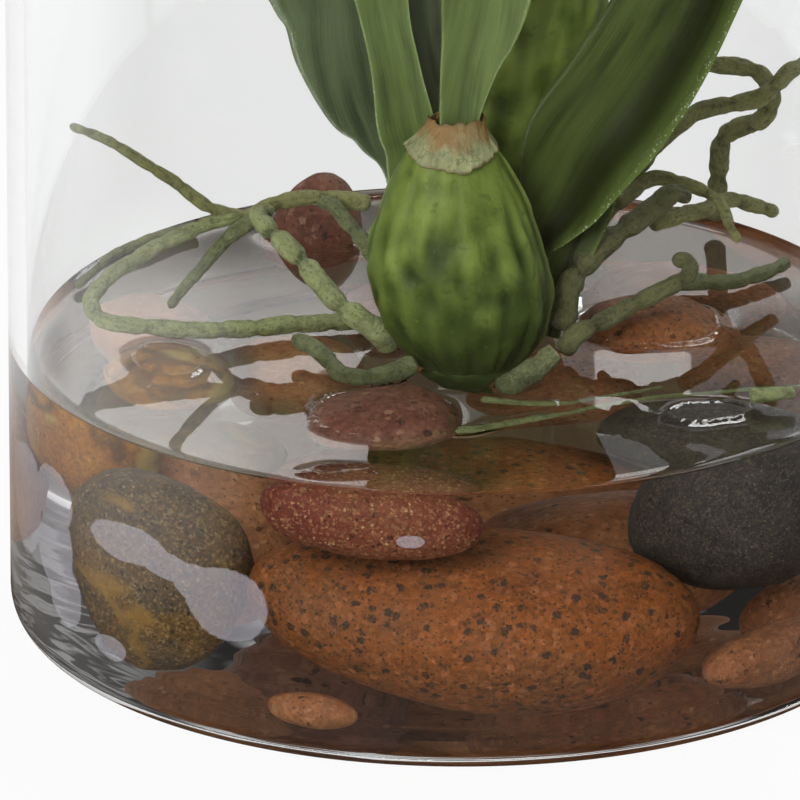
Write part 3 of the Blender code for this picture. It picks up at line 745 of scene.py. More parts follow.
# Half sizes, turns about x, y and z in degrees, how much wider the top is than the middle, how boxy the stone
# is, and its finish. Its place is its node's box.
STONES = {
    "stone_speckled": ((46.5, 28, 20.5), (7, 4, -6), 0.0, 1.85, "speckled"),
    "stone_red_oval": ((23, 8.6, 9.2), (6, 5, -2), 0.0, 2.3, "red_oval"),
    "stone_olive": ((20.5, 15, 23.5), (0, -2, -8), 0.2, 2.1, "olive"),
    "stone_black": ((25, 16, 19), (0, 0, -12), 0.0, 2.1, "black"),
    "stone_yellow": ((14.5, 18, 15), (0, 0, 12), 0.0, 2.3, "yellow"),
    "stone_peach": ((14, 20, 21), (0, 0, 25), 0.0, 2.3, "peach"),
    "stone_tan": ((15, 19, 24), (0, 0, 0), 0.0, 2.2, "peach"),
    "stone_red_wet": ((17, 16, 8.6), (0, -4, 0), 0.0, 2.3, "red"),
    "stone_orange_wet": ((19, 15, 13), (0, 6, 8), 0.0, 2.4, "orange"),
    "stone_back_left": ((11.5, 11, 20.5), (0, 10, 0), 0.0, 2.0, "red"),
    "stone_right": ((20, 20, 20), (0, 0, 0), 0.0, 2.3, "orange"),
    "stone_low_right": ((20, 9, 6.5), (0, 0, 40), 0.0, 2.2, "orange"),
    "stone_under_right": ((17, 8.5, 9.5), (0, 0, 25), 0.0, 2.2, "orange"),
    "stone_back_right": ((24, 18, 18), (0, 0, -25), 0.0, 2.3, "orange"),
    "stone_back": ((19, 18, 22), (0, 0, 0), 0.0, 2.3, "peach"),
    "stone_middle": ((20, 18, 15.5), (0, 0, 0), 0.0, 2.4, "orange"),
    "stone_small": ((10, 4.5, 4), (0, 0, -20), 0.0, 2.0, "orange"),
    "stone_far_left": ((11, 12, 24), (0, 0, 0), 0.0, 2.1, "red"),
}
STONE_ROWS = 48
STONE_COLUMNS = 80
# How far from the poles a stone's first and last rows lie, as a share of a row.
STONE_POLE = 0.35
# A plain stone: how its clouds bend, turn and stretch into bands, how fine its clouds, grit and grains are,
# and how much dark dust, pale patches and veins it has.
PLAIN_STONE = {"bend": 0.012, "turn": (0, 0, 0), "stretch": (1, 1, 1), "cloud": 30.0, "grit": 900.0,
               "grain": 400.0, "dust": 0.16, "patch_share": 0.0, "vein_share": 0.0}
# Each finish: its two main colours, its dark and its pale grains, how many grains of each kind it shows, how
# much grit, and where else it differs from a plain stone.
STONE_LOOKS = {
    "speckled": {"colours": (tone(146, 80, 30), tone(126, 78, 42), tone(52, 44, 33), tone(182, 116, 76)),
                 "pale_share": 0.22, "dark_share": 0.42, "grain": 430.0, "grit_share": 0.26, "dust": 0.34},
    "red_oval": {"colours": (tone(112, 50, 36), tone(132, 74, 48), tone(60, 28, 24), tone(206, 170, 118)),
                 "pale_share": 0.20, "dark_share": 0.16, "grain": 1000.0, "grit": 1700.0, "grit_share": 0.22},
    "red": {"colours": (tone(122, 74, 58), tone(142, 98, 78), tone(58, 38, 32), tone(178, 136, 110)),
            "pale_share": 0.12, "dark_share": 0.14, "cloud": 34.0, "grit_share": 0.18},
    "olive": {"colours": (tone(118, 86, 40), tone(90, 74, 54), tone(34, 30, 22), tone(170, 140, 92)),
              "pale_share": 0.12, "dark_share": 0.12, "cloud": 40.0, "stretch": (0.7, 0.7, 2.2),
              "turn": (0.5, 0.35, 0.0), "bend": 0.03, "grain": 900.0, "grit": 1700.0, "grit_share": 0.38,
              "dust": 0.26, "vein": tone(142, 106, 46), "vein_share": 0.6},
    "black": {"colours": (tone(50, 46, 43), tone(62, 56, 51), tone(22, 21, 21), tone(128, 106, 78)),
              "pale_share": 0.05, "dark_share": 0.10, "cloud": 50.0, "grain": 1300.0, "grit": 2300.0,
              "grit_share": 0.3},
    "yellow": {"colours": (tone(160, 96, 14), tone(184, 126, 26), tone(64, 40, 12), tone(180, 164, 84)),
               "pale_share": 0.04, "dark_share": 0.03, "cloud": 22.0, "grain": 800.0, "patch_share": 0.55,
               "vein": tone(50, 30, 16), "vein_share": 0.6, "bend": 0.03, "grit_share": 0.18, "grit": 1500.0},
    "peach": {"colours": (tone(172, 116, 76), tone(150, 98, 62), tone(78, 50, 32), tone(206, 160, 120)),
              "pale_share": 0.08, "dark_share": 0.05, "grain": 700.0, "grit_share": 0.15},
    "orange": {"colours": (tone(138, 78, 38), tone(154, 98, 58), tone(52, 34, 24), tone(186, 136, 98)),
               "pale_share": 0.14, "dark_share": 0.16, "cloud": 34.0, "grain": 600.0, "grit_share": 0.2,
               "vein": tone(84, 46, 26), "vein_share": 0.25},
}


def stone_skin(way, half, flare, box, seed):
    """A point of a stone's skin, in the direction given from the stone's middle."""
    way = way * sum(abs(c) ** box for c in way) ** (-1 / box)
    uneven = 1 + 0.10 * noise.noise(way * 1.1 + Vector((seed * 3.7, 1.3, seed)))
    wider = 1 + flare * way.z * uneven
    deeper = 1 + flare * 0.3 * way.z * uneven
    worn = uneven + 0.012 * noise.noise(way * 4.3 + Vector((seed, seed * 2.1, 5.0)))
    return Vector((way.x * half[0] * wider * worn, way.y * half[1] * deeper * worn, way.z * half[2] * worn))


def make_stone(name, materials):
    """One stone, its worn and pitted skin scaled to fill its node's box."""
    half, turns, flare, box, finish = STONES[name]
    seed = list(STONES).index(name)
    turned_by = Euler([math.radians(turn) for turn in turns], "XYZ").to_matrix()
    points = []
    for row in range(STONE_ROWS + 1):
        tilt = math.pi * (row + STONE_POLE) / (STONE_ROWS + 2 * STONE_POLE) - math.pi / 2
        for _, x, y in spokes(STONE_COLUMNS):
            way = Vector((math.cos(tilt) * x, math.cos(tilt) * y, math.sin(tilt)))
            point = turned_by @ stone_skin(way, half, flare, box, seed)
            pits = 0.18 * noise.noise(point * 0.21) + 0.08 * noise.noise(point * 0.55)
            points.append(point + point.normalized() * pits)
    low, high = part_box(name)
    for k in range(3):
        values = [point[k] for point in points]
        least, most = min(values), max(values)
        for point in points:
            point[k] = (low[k] + (high[k] - low[k]) * (point[k] - least) / (most - least)) / MM
    faces = tube_faces(STONE_ROWS + 1, STONE_COLUMNS)
    return new_piece("river_" + name, points, faces, name, [materials[finish]])


def make_stones():
    """All the stones, each with the material of its finish."""
    materials = {key: stone_finish("stone_" + key, look, seed + 1)
                 for seed, (key, look) in enumerate(STONE_LOOKS.items())}
    for name in STONES:
        make_stone(name, materials)


# ---------------------------------------------------------------- pseudobulbs and husk

BULB_Y = -14.0
BULB_DEPTH = 0.68
# Profiles are rows of height, half width and middle x.
BULB_PROFILE = (
    (59.5, 7.0, 1.2), (62.5, 10.0, 1.6), (66.0, 13.5, 1.6), (71.0, 17.0, 1.2), (79.0, 19.5, 0.2),
    (89.5, 19.3, -1.4), (102.5, 15.4, -2.0), (112.0, 10.6, -2.2), (116.5, 7.0, -2.0), (118.0, 3.6, -1.8),
)
# The front bulb's foot in the cast water.
BULB_FOOT = ((45.0, 5.0, 4.0), (50.0, 8.2, 2.6), (56.0, 9.6, 2.0), (62.5, 9.4, 1.6))
FOOT_ROWS = 16
BACK_PROFILE = (
    (61.0, 8.0, 8.0), (70.0, 12.5, 8.5), (90.0, 14.0, 9.5), (115.0, 15.5, 12.5), (140.0, 16.0, 17.0),
    (165.0, 12.0, 19.0), (183.0, 6.0, 19.0),
)
# Each bulb's node, profile, middle y, depth for its width, number of ribs, height of its keel, and foot.
BULBS = {
    "bulb_front": ("pseudobulb_front", BULB_PROFILE, BULB_Y, BULB_DEPTH, 17, 0.9, BULB_FOOT),
    "bulb_back": ("pseudobulb_back", BACK_PROFILE, 15.0, 0.72, 15, 0.0, ()),
}
BULB_ROWS = 110
BULB_COLUMNS = 220
# The keel's place on the way round and its width, in radians, and a groove's width as a share of a rib.
KEEL_TURN = 0.12
KEEL_WIDTH = 0.045
GROOVE_WIDTH = 0.21
# How much a bulb's lumps, grooves and dents move its skin.
BULB_RELIEF = 0.8
# The share at which a profile's last span is still read.
NEARLY_ONE = 0.999


def section(profile, t):
    """Height, half width and middle of a bulb at a share of its height."""
    height = profile[0][0] + (profile[-1][0] - profile[0][0]) * t
    k = max(i for i in range(len(profile) - 1) if profile[i][0] <= height + 1e-6)
    before = profile[max(k - 1, 0)]
    after = profile[min(k + 2, len(profile) - 1)]
    f = (height - profile[k][0]) / (profile[k + 1][0] - profile[k][0])
    here, there = profile[k], profile[k + 1]
    run = there[0] - here[0]
    rise = f * f * (3 - 2 * f)
    values = []
    for j in (1, 2):
        slope_in = (there[j] - before[j]) / (there[0] - before[0]) * run
        slope_out = (after[j] - here[j]) / (after[0] - here[0]) * run
        bends = slope_in * (f - 2 * f * f + f ** 3) + slope_out * (f ** 3 - f * f)
        values.append(here[j] * (1 - rise) + there[j] * rise + bends)
    return height, *values


def off_turn(turn, place):
    """How far a turn is from a place on the way round, up to half a round either way."""
    return (turn - place + math.pi) % (2 * math.pi) - math.pi


def make_bulb(name, material):
    """A ribbed, slightly flattened bulb: uneven ribs broken into lumps, and a thin keel along one edge."""
    node, profile, middle_y, depth, ribs, keel, foot = BULBS[name]
    draw = random.Random(ribs)
    grooves = [2 * math.pi * (i + draw.uniform(-0.22, 0.22)) / ribs for i in range(ribs)]
    spacing = 2 * math.pi / ribs
    points, marks, keels = [], [], []
    for row in range(BULB_ROWS + 1):
        share = row / BULB_ROWS
        height, half, middle = section(profile, share)
        ends = soft_step(share, 0.0, 0.12) * (1 - soft_step(share, 0.86, 1.0))
        ribbed = 1 - 0.75 * soft_step(share, 0.52, 0.80)
        wavy = [groove + 0.10 * noise.noise(Vector((i * 5.1, height * 0.09, ribs)))
                for i, groove in enumerate(grooves)]
        depths = [0.55 + 0.9 * noise.noise(Vector((i * 3.3, height * 0.11, 9.0))) for i in range(ribs)]
        for turn, x, y in spokes(BULB_COLUMNS):
            groove = 0.0
            for place, deep in zip(wavy, depths):
                rib = bell(abs(off_turn(turn, place)) / spacing, GROOVE_WIDTH)
                groove = max(groove, min(max(deep, 0.08), 1.0) * rib)
            way = Vector((x, y, 0))
            crease = noise.noise(way * 1.6 + Vector((2, 0, height * 0.16)))
            patchy = max(0.1 + 2.0 * noise.noise(way * 1.9 + Vector((8, 3, height * 0.05))), 0.0)
            groove = max(groove, 0.6 * min(patchy, 1.0) * bell(crease, 0.05))
            lump = noise.noise(way * 3.7 + Vector((0, 0, height * 0.13)))
            dent = max(noise.noise(way * 2.2 + Vector((4, 7, height * 0.20))) - 0.12, 0.0)
            lift = ends * BULB_RELIEF * (lump * ribbed - groove * ribbed - dent)
            edge = ends * bell(off_turn(turn, KEEL_TURN), KEEL_WIDTH)
            across = half + lift + keel * edge
            points.append((middle + across * x, middle_y + (half * depth + lift) * y, height))
            # Painted light and shade carried by the mesh: pale on the lumps as a painted highlight, dark in
            # the grooves and dents as painted shade.
            level = 0.57 + 0.62 * lump * ribbed - 0.36 * groove * ribbed - 0.34 * dent
            marks.append(min(max(level, 0.0), 1.0))
            keels.append(edge if keel else 0.0)
    faces = tube_faces(BULB_ROWS + 1, BULB_COLUMNS)
    if foot:
        first = len(points)
        for row in range(FOOT_ROWS + 1):
            height, half, middle = section(foot, min(row / FOOT_ROWS, NEARLY_ONE))
            for _, x, y in spokes(BULB_COLUMNS):
                knob = noise.noise(Vector((2.2 * x, 2.2 * y, height * 0.22)))
                reach = half + 1.6 * knob
                points.append((middle + reach * x, middle_y + reach * depth * y, height))
                marks.append(0.35 + 0.5 * knob)
                keels.append(0.0)
        faces += [tuple(first + index for index in face) for face in tube_faces(FOOT_ROWS + 1, BULB_COLUMNS)]
    return new_piece(name, points, faces, node, [material], {"ridge": marks, "keel": keels})


COLLAR_PROFILE = (
    (110.0, 12.3, -2.2), (113.0, 10.6, -2.2), (117.4, 7.6, -1.9), (119.4, 6.2, -1.4), (121.5, 5.8, -1.0),
)
HUSK_ROWS = 26
HUSK_COLUMNS = 144


def make_husk(material):
    """The dry husk: a thin, wrinkled, papery scale over the bulb's shoulder, its lower edge finely torn."""
    points, rims, lows = [], [], []
    foot, neck = COLLAR_PROFILE[0][0], COLLAR_PROFILE[-1][0]
    for side in (1, -1):
        for row in range(HUSK_ROWS + 1):
            share = row / HUSK_ROWS if side > 0 else 1 - row / HUSK_ROWS
            for _, x, y in spokes(HUSK_COLUMNS):
                way = Vector((x, y, 0))
                torn = 1.1 + 3.6 * way.x ** 2 + 0.7 * noise.noise(way * 2.3) + 0.5 * noise.noise(way * 9.0)
                low = foot + max(torn, 0.0)
                high = neck - 0.4 + 1.2 * min(noise.noise(way * 4.0 + Vector((9, 0, 0))), 0.2)
                height = low + (high - low) * share
                t = (height - foot) / (neck - foot)
                _, half, middle = section(COLLAR_PROFILE, min(max(t, 0.0), NEARLY_ONE))
                crease = 0.22 * noise.noise(Vector((way.x * 6, way.y * 6, height * 0.25)))
                crease += 0.10 * noise.noise(Vector((way.x * 19, way.y * 19, height * 0.2)))
                curl = (0.2 + 0.9 * max(noise.noise(way * 5.0 + Vector((0, 4, 0))), 0)) * (1 - share) ** 6
                reach = 0.35 + 0.14 * side + crease + curl
                depth = half * BULB_DEPTH + reach
                points.append((middle + (half + reach) * way.x, BULB_Y + depth * way.y, height))
                rims.append(max(1 - share / 0.08, 1 - (1 - share) / 0.10, 0.0))
                lows.append(soft_step(share + 0.25 * noise.noise(way * 3.1 + Vector((3, 0, 0))), 0.28, 0.58))
    rows = 2 * (HUSK_ROWS + 1)
    faces = tube_faces(rows, HUSK_COLUMNS, closed_ends=False)
    last = (rows - 1) * HUSK_COLUMNS
    following = [(i + 1) % HUSK_COLUMNS for i in range(HUSK_COLUMNS)]
    faces += [(last + i, last + j, j, i) for i, j in enumerate(following)]
    marks = {"rim": rims, "neck": lows}
    return new_piece("dry_husk", points, faces, "husk_collar", [material], marks)


# ---------------------------------------------------------------- leaves

# Fold, thickness, the way the upper side faces in degrees, and the stations: middle and width.
LEAVES = {
    "leaf_front": (0.42, 1.5, 10, (
        ((-1, -14, 118.6), 8.4), ((-0.5, -14, 124), 9.6), ((1.2, -14.5, 134), 13),
        ((4.4, -15, 149), 19.5), ((8, -17, 185), 27), ((14, -21, 225), 33), ((22, -29, 265), 35),
        ((30, -39, 300), 30), ((38, -49, 330), 18), ((42, -55, 346), 2.5))),
    "leaf_sheath_left": (0.35, 1.6, -6, (
        ((-9, 5, 64), 10), ((-9.5, 4, 90), 12), ((-10.5, 0.5, 108), 12), ((-12, -2, 116), 13),
        ((-14.4, -3.5, 130), 11), ((-17.5, -4.5, 147), 12), ((-23, -5, 190), 22), ((-31, -7, 240), 29),
        ((-43, -11, 290), 28), ((-54, -15, 330), 18), ((-60, -18, 352), 2.5))),
    "leaf_far_left": (0.25, 1.5, 0, (
        ((-10, 14, 64), 8), ((-10.5, 13, 97), 12), ((-14, 12, 110), 20), ((-17, 11.5, 118), 28),
        ((-19.5, 11, 130), 35), ((-22, 11, 146), 41), ((-38, 12, 180), 43), ((-55, 13, 212), 40),
        ((-70, 15, 250), 34), ((-88, 18, 290), 27), ((-108, 20, 320), 17), ((-124, 22, 335), 2.5))),
    "leaf_right": (0.55, 1.8, -28, (
        ((16, 1, 84), 6), ((19.5, 1, 91), 14), ((23.5, 1, 98.5), 21), ((29, 0, 110), 27),
        ((39, 0, 124), 28), ((50, 0, 144), 27), ((60, 2, 170), 28), ((68, 4, 202), 27),
        ((73, 6, 236), 24), ((80, 8, 270), 20), ((92, 10, 300), 13), ((102, 12, 318), 2.5))),
    "leaf_sheath_right": (0.4, 1.6, -12, (
        ((19.5, -1, 65), 5), ((20.5, 0, 70), 6), ((22, 1, 77), 8), ((24.5, 2, 84), 9.5),
        ((28.5, 4, 92), 9), ((32.5, 6, 99), 6), ((36, 7, 105), 2.5))),
    "leaf_back_right": (0.3, 1.5, 200, (
        ((25, 20, 176), 14), ((30, 27, 212), 24), ((38, 38, 255), 28), ((50, 52, 296), 23),
        ((64, 67, 326), 2.5))),
    "leaf_back_left": (0.3, 1.5, 160, (
        ((11, 22, 176), 14), ((4, 32, 216), 24), ((-8, 46, 262), 28), ((-24, 62, 302), 23),
        ((-40, 78, 328), 2.5))),
}
LEAF_STEPS = 12
LEAF_COLUMNS = 20
# Where a leaf's fold lies across it, how wide it is, and how deep a channel runs along it. Its place and width
# also set where the painted shade of the fold lies.
FOLD = (0.05, 0.12, 0.0)
FOLD_OF_RIGHT = (0.34, 0.33, 2.2)
# The widths between which a leaf begins to ripple, and how thick its rims are for its middle.
RIPPLE_WIDTHS = (8, 20)
RIM_SHARE = 0.32


def make_leaf(name, material):
    """A leaf blade: folded along its middle, thick there and thin at its gently rippled rims."""
    fold, thickness, facing, stations = LEAVES[name]
    face = Vector((math.sin(math.radians(facing)), -math.cos(math.radians(facing)), 0))
    route = smooth_route([middle for middle, _ in stations], LEAF_STEPS)
    last = len(route) - 1
    seed = list(LEAVES).index(name)
    one_rim = name == "leaf_right"
    fold_middle, fold_width, channel = FOLD_OF_RIGHT if one_rim else FOLD
    points, fold_shades, rims, uv = [], [], [], []
    length = 0.0
    for k, centre in enumerate(route):
        width = max(smooth_value([w for _, w in stations], k / last), 1.2)
        along = (route[min(k + 1, last)] - route[max(k - 1, 0)]).normalized()
        normal = (face - along * face.dot(along)).normalized()
        across = along.cross(normal)
        length += (centre - route[max(k - 1, 0)]).length
        middle = min(thickness, width / 3)
        edge = RIM_SHARE * middle
        broad = soft_step(width, *RIPPLE_WIDTHS)
        for side, u in across_sheet(LEAF_COLUMNS):
            rounded = math.sqrt(u * u + 0.006)
            ripple = 0.5 * noise.noise(Vector((length * 0.05, u * 1.2, seed * 3.0))) * u * u * broad
            hollow = channel * bell(u - fold_middle, fold_width) * broad
            raised = fold * rounded * width / 2 + ripple - hollow
            spot = centre + across * (u * width / 2) + normal * raised
            rounding = math.sqrt(max(1 - abs(u) ** 12, 0.0))
            half = (edge + (middle - edge) * (1 - abs(u)) ** 0.8) / 2 * rounding
            points.append(spot + normal * half * side)
            # The fold mark says where painted shade goes: along the leaf's fold, and on leaf_right along its
            # channel.
            fold_shades.append(math.exp(-((u - fold_middle) / fold_width) ** 4))
            # The rim mark says where the painted highlight and glints go: on both rims, but on leaf_right only
            # on the right one.
            rims.append(soft_step(u if one_rim else abs(u), 0.87, 0.96))
            uv.append((u * width / 20, length / 10))
    faces = tube_faces(last + 1, 2 * (LEAF_COLUMNS + 1))
    marks = {"fold": fold_shades, "rim": rims}
    return new_piece(name.replace("leaf_", "blade_"), points, faces, name, [material], marks, uv)


# ---------------------------------------------------------------- roots

# Half thickness of each root, and the points that its middle runs through.
ROOTS = {
    "root_left_high": (1.9, ((-20, 30, 85), (-28, 30, 86), (-36, 29, 86.4), (-43, 27, 85.4),
                             (-48, 25, 83.5), (-56, 22, 87), (-68, 16, 98), (-79, 12, 106.5),
                             (-87, 10, 110.4))),
    "root_left_arch": (1.9, ((-19, 21, 75), (-22.3, 22, 79.5), (-26, 23, 84), (-29, 24, 87),
                             (-32, 25, 86.4))),
    "root_left_chain": (2.6, ((-15, -5, 63), (-19, -6, 68), (-24, -5, 72), (-29, -1, 75), (-36, 7, 80.5),
                              (-42, 14, 84), (-45, 19, 86), (-42, 23, 86))),
    "root_left_slant": (1.8, ((-46, 21.5, 84.5), (-51, 20, 81), (-54, 20, 78), (-60, 17, 72),
                              (-65, 14, 66))),
    "root_left_hairpin": (2.0, ((-20, 6, 66), (-29, 5, 66), (-40, 2, 66.4), (-51, -2, 67),
                                (-62, -5, 68.2), (-73, -9, 70.6), (-79, -10, 72.6), (-81.5, -6, 75.4),
                                (-78, 1, 78), (-70, 10, 80.4), (-58, 20, 83), (-49, 24, 84.5))),
    "root_left_low": (2.2, ((-10, -22, 66.5), (-15, -25, 65.6), (-21, -27, 64.9), (-26, -25, 64.9),
                            (-28.5, -20, 65.8), (-32, -15, 67.3), (-37, -10, 68))),
    "root_left_wall": (1.2, ((-60, 68, 65.5), (-71, 58, 66), (-80, 46, 65.8), (-87, 30, 65.2))),
    "root_right_hook": (2.3, ((58, 70, 66), (59, 71, 76), (60, 70, 85.4), (65, 67, 90), (69, 60, 94),
                              (71, 57, 100), (68, 56, 106), (61, 56, 108), (52, 56, 107), (42, 52, 103))),
    "root_right_high": (2.2, ((36, 30, 90), (45, 31, 100), (52, 34, 104.5), (61, 36, 106),
                              (68, 36, 108.5), (75, 31, 116), (83, 24, 122))),
    "root_right_curl": (1.85, ((34, 20, 88), (42, 27, 91.6), (49, 27, 90.8), (54, 26, 89.3),
                              (58, 24, 86.8), (60, 20, 83), (62, 18, 80))),
    "root_right_small": (1.2, ((31, 26, 81), (35, 28, 85), (40, 30, 88.5))),
    "root_right_thick": (2.9, ((22, -8, 69), (24, -3, 78), (31, 4, 84), (36, 8, 86.7), (43, 12, 90.4),
                               (47, 14, 93), (51, 15, 91.5))),
    "root_right_back": (2.0, ((42, 21, 83), (46, 23, 84), (53, 30, 83), (60, 40, 81.8), (66, 45, 79),
                              (72, 48, 76))),
    "root_right_low": (2.2, ((22, -13, 65.5), (25, -12, 69), (30, -9, 71), (36, -5, 73), (42, -3, 75.4),
                             (47, -1, 77.4), (50.4, 1, 79.2), (49.8, 2, 81.6), (46.5, 2, 82))),
    "root_stub": (3.0, ((8, -31, 63.5), (13, -28, 65), (18, -25, 68), (20.5, -24, 70.2))),
    "root_strand_long": (1.1, ((-1, -56, 64), (2, -55, 63.4), (20, -45, 62.2), (36, -36, 61.8),
                               (56, -30, 61.6), (76, -26, 61.6))),
    "root_strand_short": (0.9, ((4, -38, 64), (20, -38.5, 62.6), (34, -32, 62), (44, -27, 62))),
    "root_fragment": (1.7, ((62, -43, 66.8), (67, -42, 67), (72, -41, 66.8))),
    "root_floating": (1.9, ((48, 30, 66), (60, 31, 65.8), (67, 36, 65.6), (74, 43, 66))),
}
ROOT_SIDES = 24
ROOT_STEPS = 26
# Roots that end cut off, and roots that aren't the plain green.
ROOT_CUT = ("root_stub", "root_floating")
ROOTS_PALE = ("root_left_hairpin", "root_left_chain", "root_strand_long", "root_strand_short",
              "root_fragment")
# The brown roots get a darker copy of the root material: partly a browner tone, partly painted shade where a
# leaf shadows the thick root.
ROOTS_BROWN_AND_SHADED = ("root_right_thick", "root_right_low")
ROOTS_DARK = ("root_right_hook", "root_right_high", "root_right_curl", "root_right_back", "root_left_high",
              "root_left_wall", "root_right_small")
# How much of its thickness a root loses towards its tip, and how deep the waists between its swellings are.
ROOT_TAPER = 0.22
ROOT_TAPERS = {"root_left_high": 0.5, "root_right_curl": 0.4, "root_left_slant": 0.4,
               "root_right_small": 0.4}
ROOT_WAIST = 0.16
ROOT_WAISTS = {"root_left_chain": 0.42, "root_right_thick": 0.30, "root_right_low": 0.26,
               "root_right_hook": 0.24}
# The least and most distance between waists, as shares of the half thickness.
WAIST_SPACING = (3.8, 6.0)


def rounded_end(share):
    """The half thickness of a rounded end, from 0 at its tip to 1."""
    return math.sqrt(max(1 - (1 - min(share, 1.0)) ** 2, 0.0))


def make_root(name, material):
    """A fleshy root: uneven swellings with tighter places between them, thinning to a rounded tip."""
    half, stations = ROOTS[name]
    seed = list(ROOTS).index(name)
    draw = random.Random(seed)
    route = smooth_route(stations, ROOT_STEPS)
    lengths = [0.0]
    for before, after in zip(route, route[1:]):
        lengths.append(lengths[-1] + (after - before).length)
    total = lengths[-1]
    knots = [0.0]
    while knots[-1] < total:
        knots.append(knots[-1] + draw.uniform(*WAIST_SPACING) * half)
    deep = ROOT_WAISTS.get(name, ROOT_WAIST)
    cut = name in ROOT_CUT
    points, ridges, cuts, uv = [], [], [], []
    for run, centre, (side, up) in zip(lengths, route, frames(route)):
        waist = min(abs(run - knot) for knot in knots[1:]) / half
        swell = 1.05 - deep * (1 - soft_step(waist, 0.0, 0.9))
        swell += 0.10 * noise.noise(Vector((run * 0.12, seed, 0)))
        thin = 1.0 - ROOT_TAPERS.get(name, ROOT_TAPER) * run / total
        from_tip = (total - run) / half
        tip = max(rounded_end(from_tip / 0.9), 0.88 if cut else 0.06)
        start = rounded_end(run / half / 0.7 + 0.02)
        sideways, upwards = (noise.noise(Vector((run * 0.09, seed, k))) for k in (3, 8))
        bend = side * sideways + up * upwards
        middle = centre + bend * 0.5 * min(from_tip / 4, 1.0)
        for i, (_, x, y) in enumerate(spokes(ROOT_SIDES)):
            way = side * x + up * y
            lump = 0.12 * noise.noise(centre * 0.30 + way * 0.9)
            lump += 0.06 * noise.noise(centre * 0.8 + way * 2.4)
            reach = half * thin * swell * (1 + lump) * max(tip * start, 0.05)
            points.append(middle + way * reach)
            # Painted light and shade carried by the mesh: paler on the swellings and bumps, darker in the
            # waists.
            ridges.append(min(max(0.5 + 2.2 * lump + 0.9 * (swell - 0.95), 0.0), 1.0))
            cuts.append(1.0 if cut and from_tip < 0.12 else 0.0)
            uv.append((i / ROOT_SIDES, run / 10))
    faces = tube_faces(len(route), ROOT_SIDES)
    marks = {"ridge": ridges, "cut": cuts}
    return new_piece("air_" + name, points, faces, name, [material], marks, uv)


# ---------------------------------------------------------------- flowers

SPIKE_HALF = 2.4
SPIKE_SIDES = 20
SPIKE_STEPS = 30
SPIKE_JOINTS = 9
# The points that the spike's middle runs through.
SPIKE = ((17, 33, 60), (17, 34, 120), (16, 36, 180), (12, 34, 260), (4, 26, 340), (-6, 14, 405),
         (-18, 0, 452), (-34, -16, 486), (-40, -25, 499), (-45.1, -35.1, 510.3))
BLOOM_SIZE = 31.0
# Each bloom's middle, the way it faces, and where its stalk joins the spike.
BLOOMS = {
    "bloom_1": ((22, -4, 372), (0.5, -1.0, 0.1), (1.5, 22.5, 356)),
    "bloom_2": ((-36, -10, 402), (-0.7, -1.0, 0.1), (-6.5, 12, 405)),
    "bloom_3": ((4, -28, 446), (0.35, -1.0, 0.05), (-14, 3, 442)),
    "bloom_4": ((-50, -40, 462), (-0.45, -1.0, -0.1), (-24, -6, 466)),
}
# Each bud's foot, tip and half width, and how far its foot reaches back into the spike.
BUDS = {
    "bud_1": ((-46, -36, 511), (-60, -48, 520), 6.0),
    "bud_2": ((-44.9, -29.8, 502.6), (-60, -40, 500.5), 4.6),
}
BUD_OVERLAP = 2.0
BUD_SIDES = 30
BUD_STEPS = 14
PETALS = 5
# The two petals at the sides are wider than the others and lie in front of them: width, and how far forward.
SIDE_PETALS = (1, 4)
SIDE_PETAL = (19.0, 0.6)
OTHER_PETAL = (15.0, -0.4)
PETAL_CUP = 3.2
PETAL_START = 2.2
PETAL_ROWS = 22
PETAL_COLUMNS = 14
COLUMN_STEPS = 6
STALK_STEPS = 14
STALK_SIDES = 18
LIP_ROWS = 26
LIP_COLUMNS = 24


def bloom_frame(name):
    """A bloom's middle, its forward, sideways and upward directions, and where its stalk joins the spike."""
    centre, facing, joint = (Vector(part) for part in BLOOMS[name])
    forward = facing.normalized()
    across = forward.cross(Vector((0, 0, 1))).normalized()
    return centre, forward, across, across.cross(forward), joint


def petal(centre, forward, outward, width, seed):
    """One petal as a thin closed body: points, marks and map places of its two sides."""
    sideways = outward.cross(forward)
    points, heart, uv = [], [], []
    for row in range(PETAL_ROWS + 1):
        t = row / PETAL_ROWS
        half = width / 2 * math.sin(math.pi * (0.10 + 0.90 * t) ** 0.82) ** 0.7 if t < 1 else 0.35
        half = max(half, 1.1 if t < 0.5 else 0.3)
        for side, u in across_sheet(PETAL_COLUMNS):
            wave = 0.9 * noise.noise(Vector((t * 4, u * 2, seed))) * abs(u)
            bowl = PETAL_CUP * math.sin(math.pi * t * 0.8) - 2.4 * t * t + 1.6 * u * u * t
            bowl -= 0.5 * bell(u, 0.15)
            reach = PETAL_START + (BLOOM_SIZE - PETAL_START) * t
            spot = centre + outward * reach + sideways * (u * half) + forward * (bowl + wave)
            thick = (0.42 * (1 - abs(u) ** 6) + 0.08) * (1 - 0.6 * t)
            points.append(spot + forward * thick * side)
            heart.append((1 - t) ** 2.2)
            uv.append((u * half / 20, t * BLOOM_SIZE / 10))
    return points, heart, uv


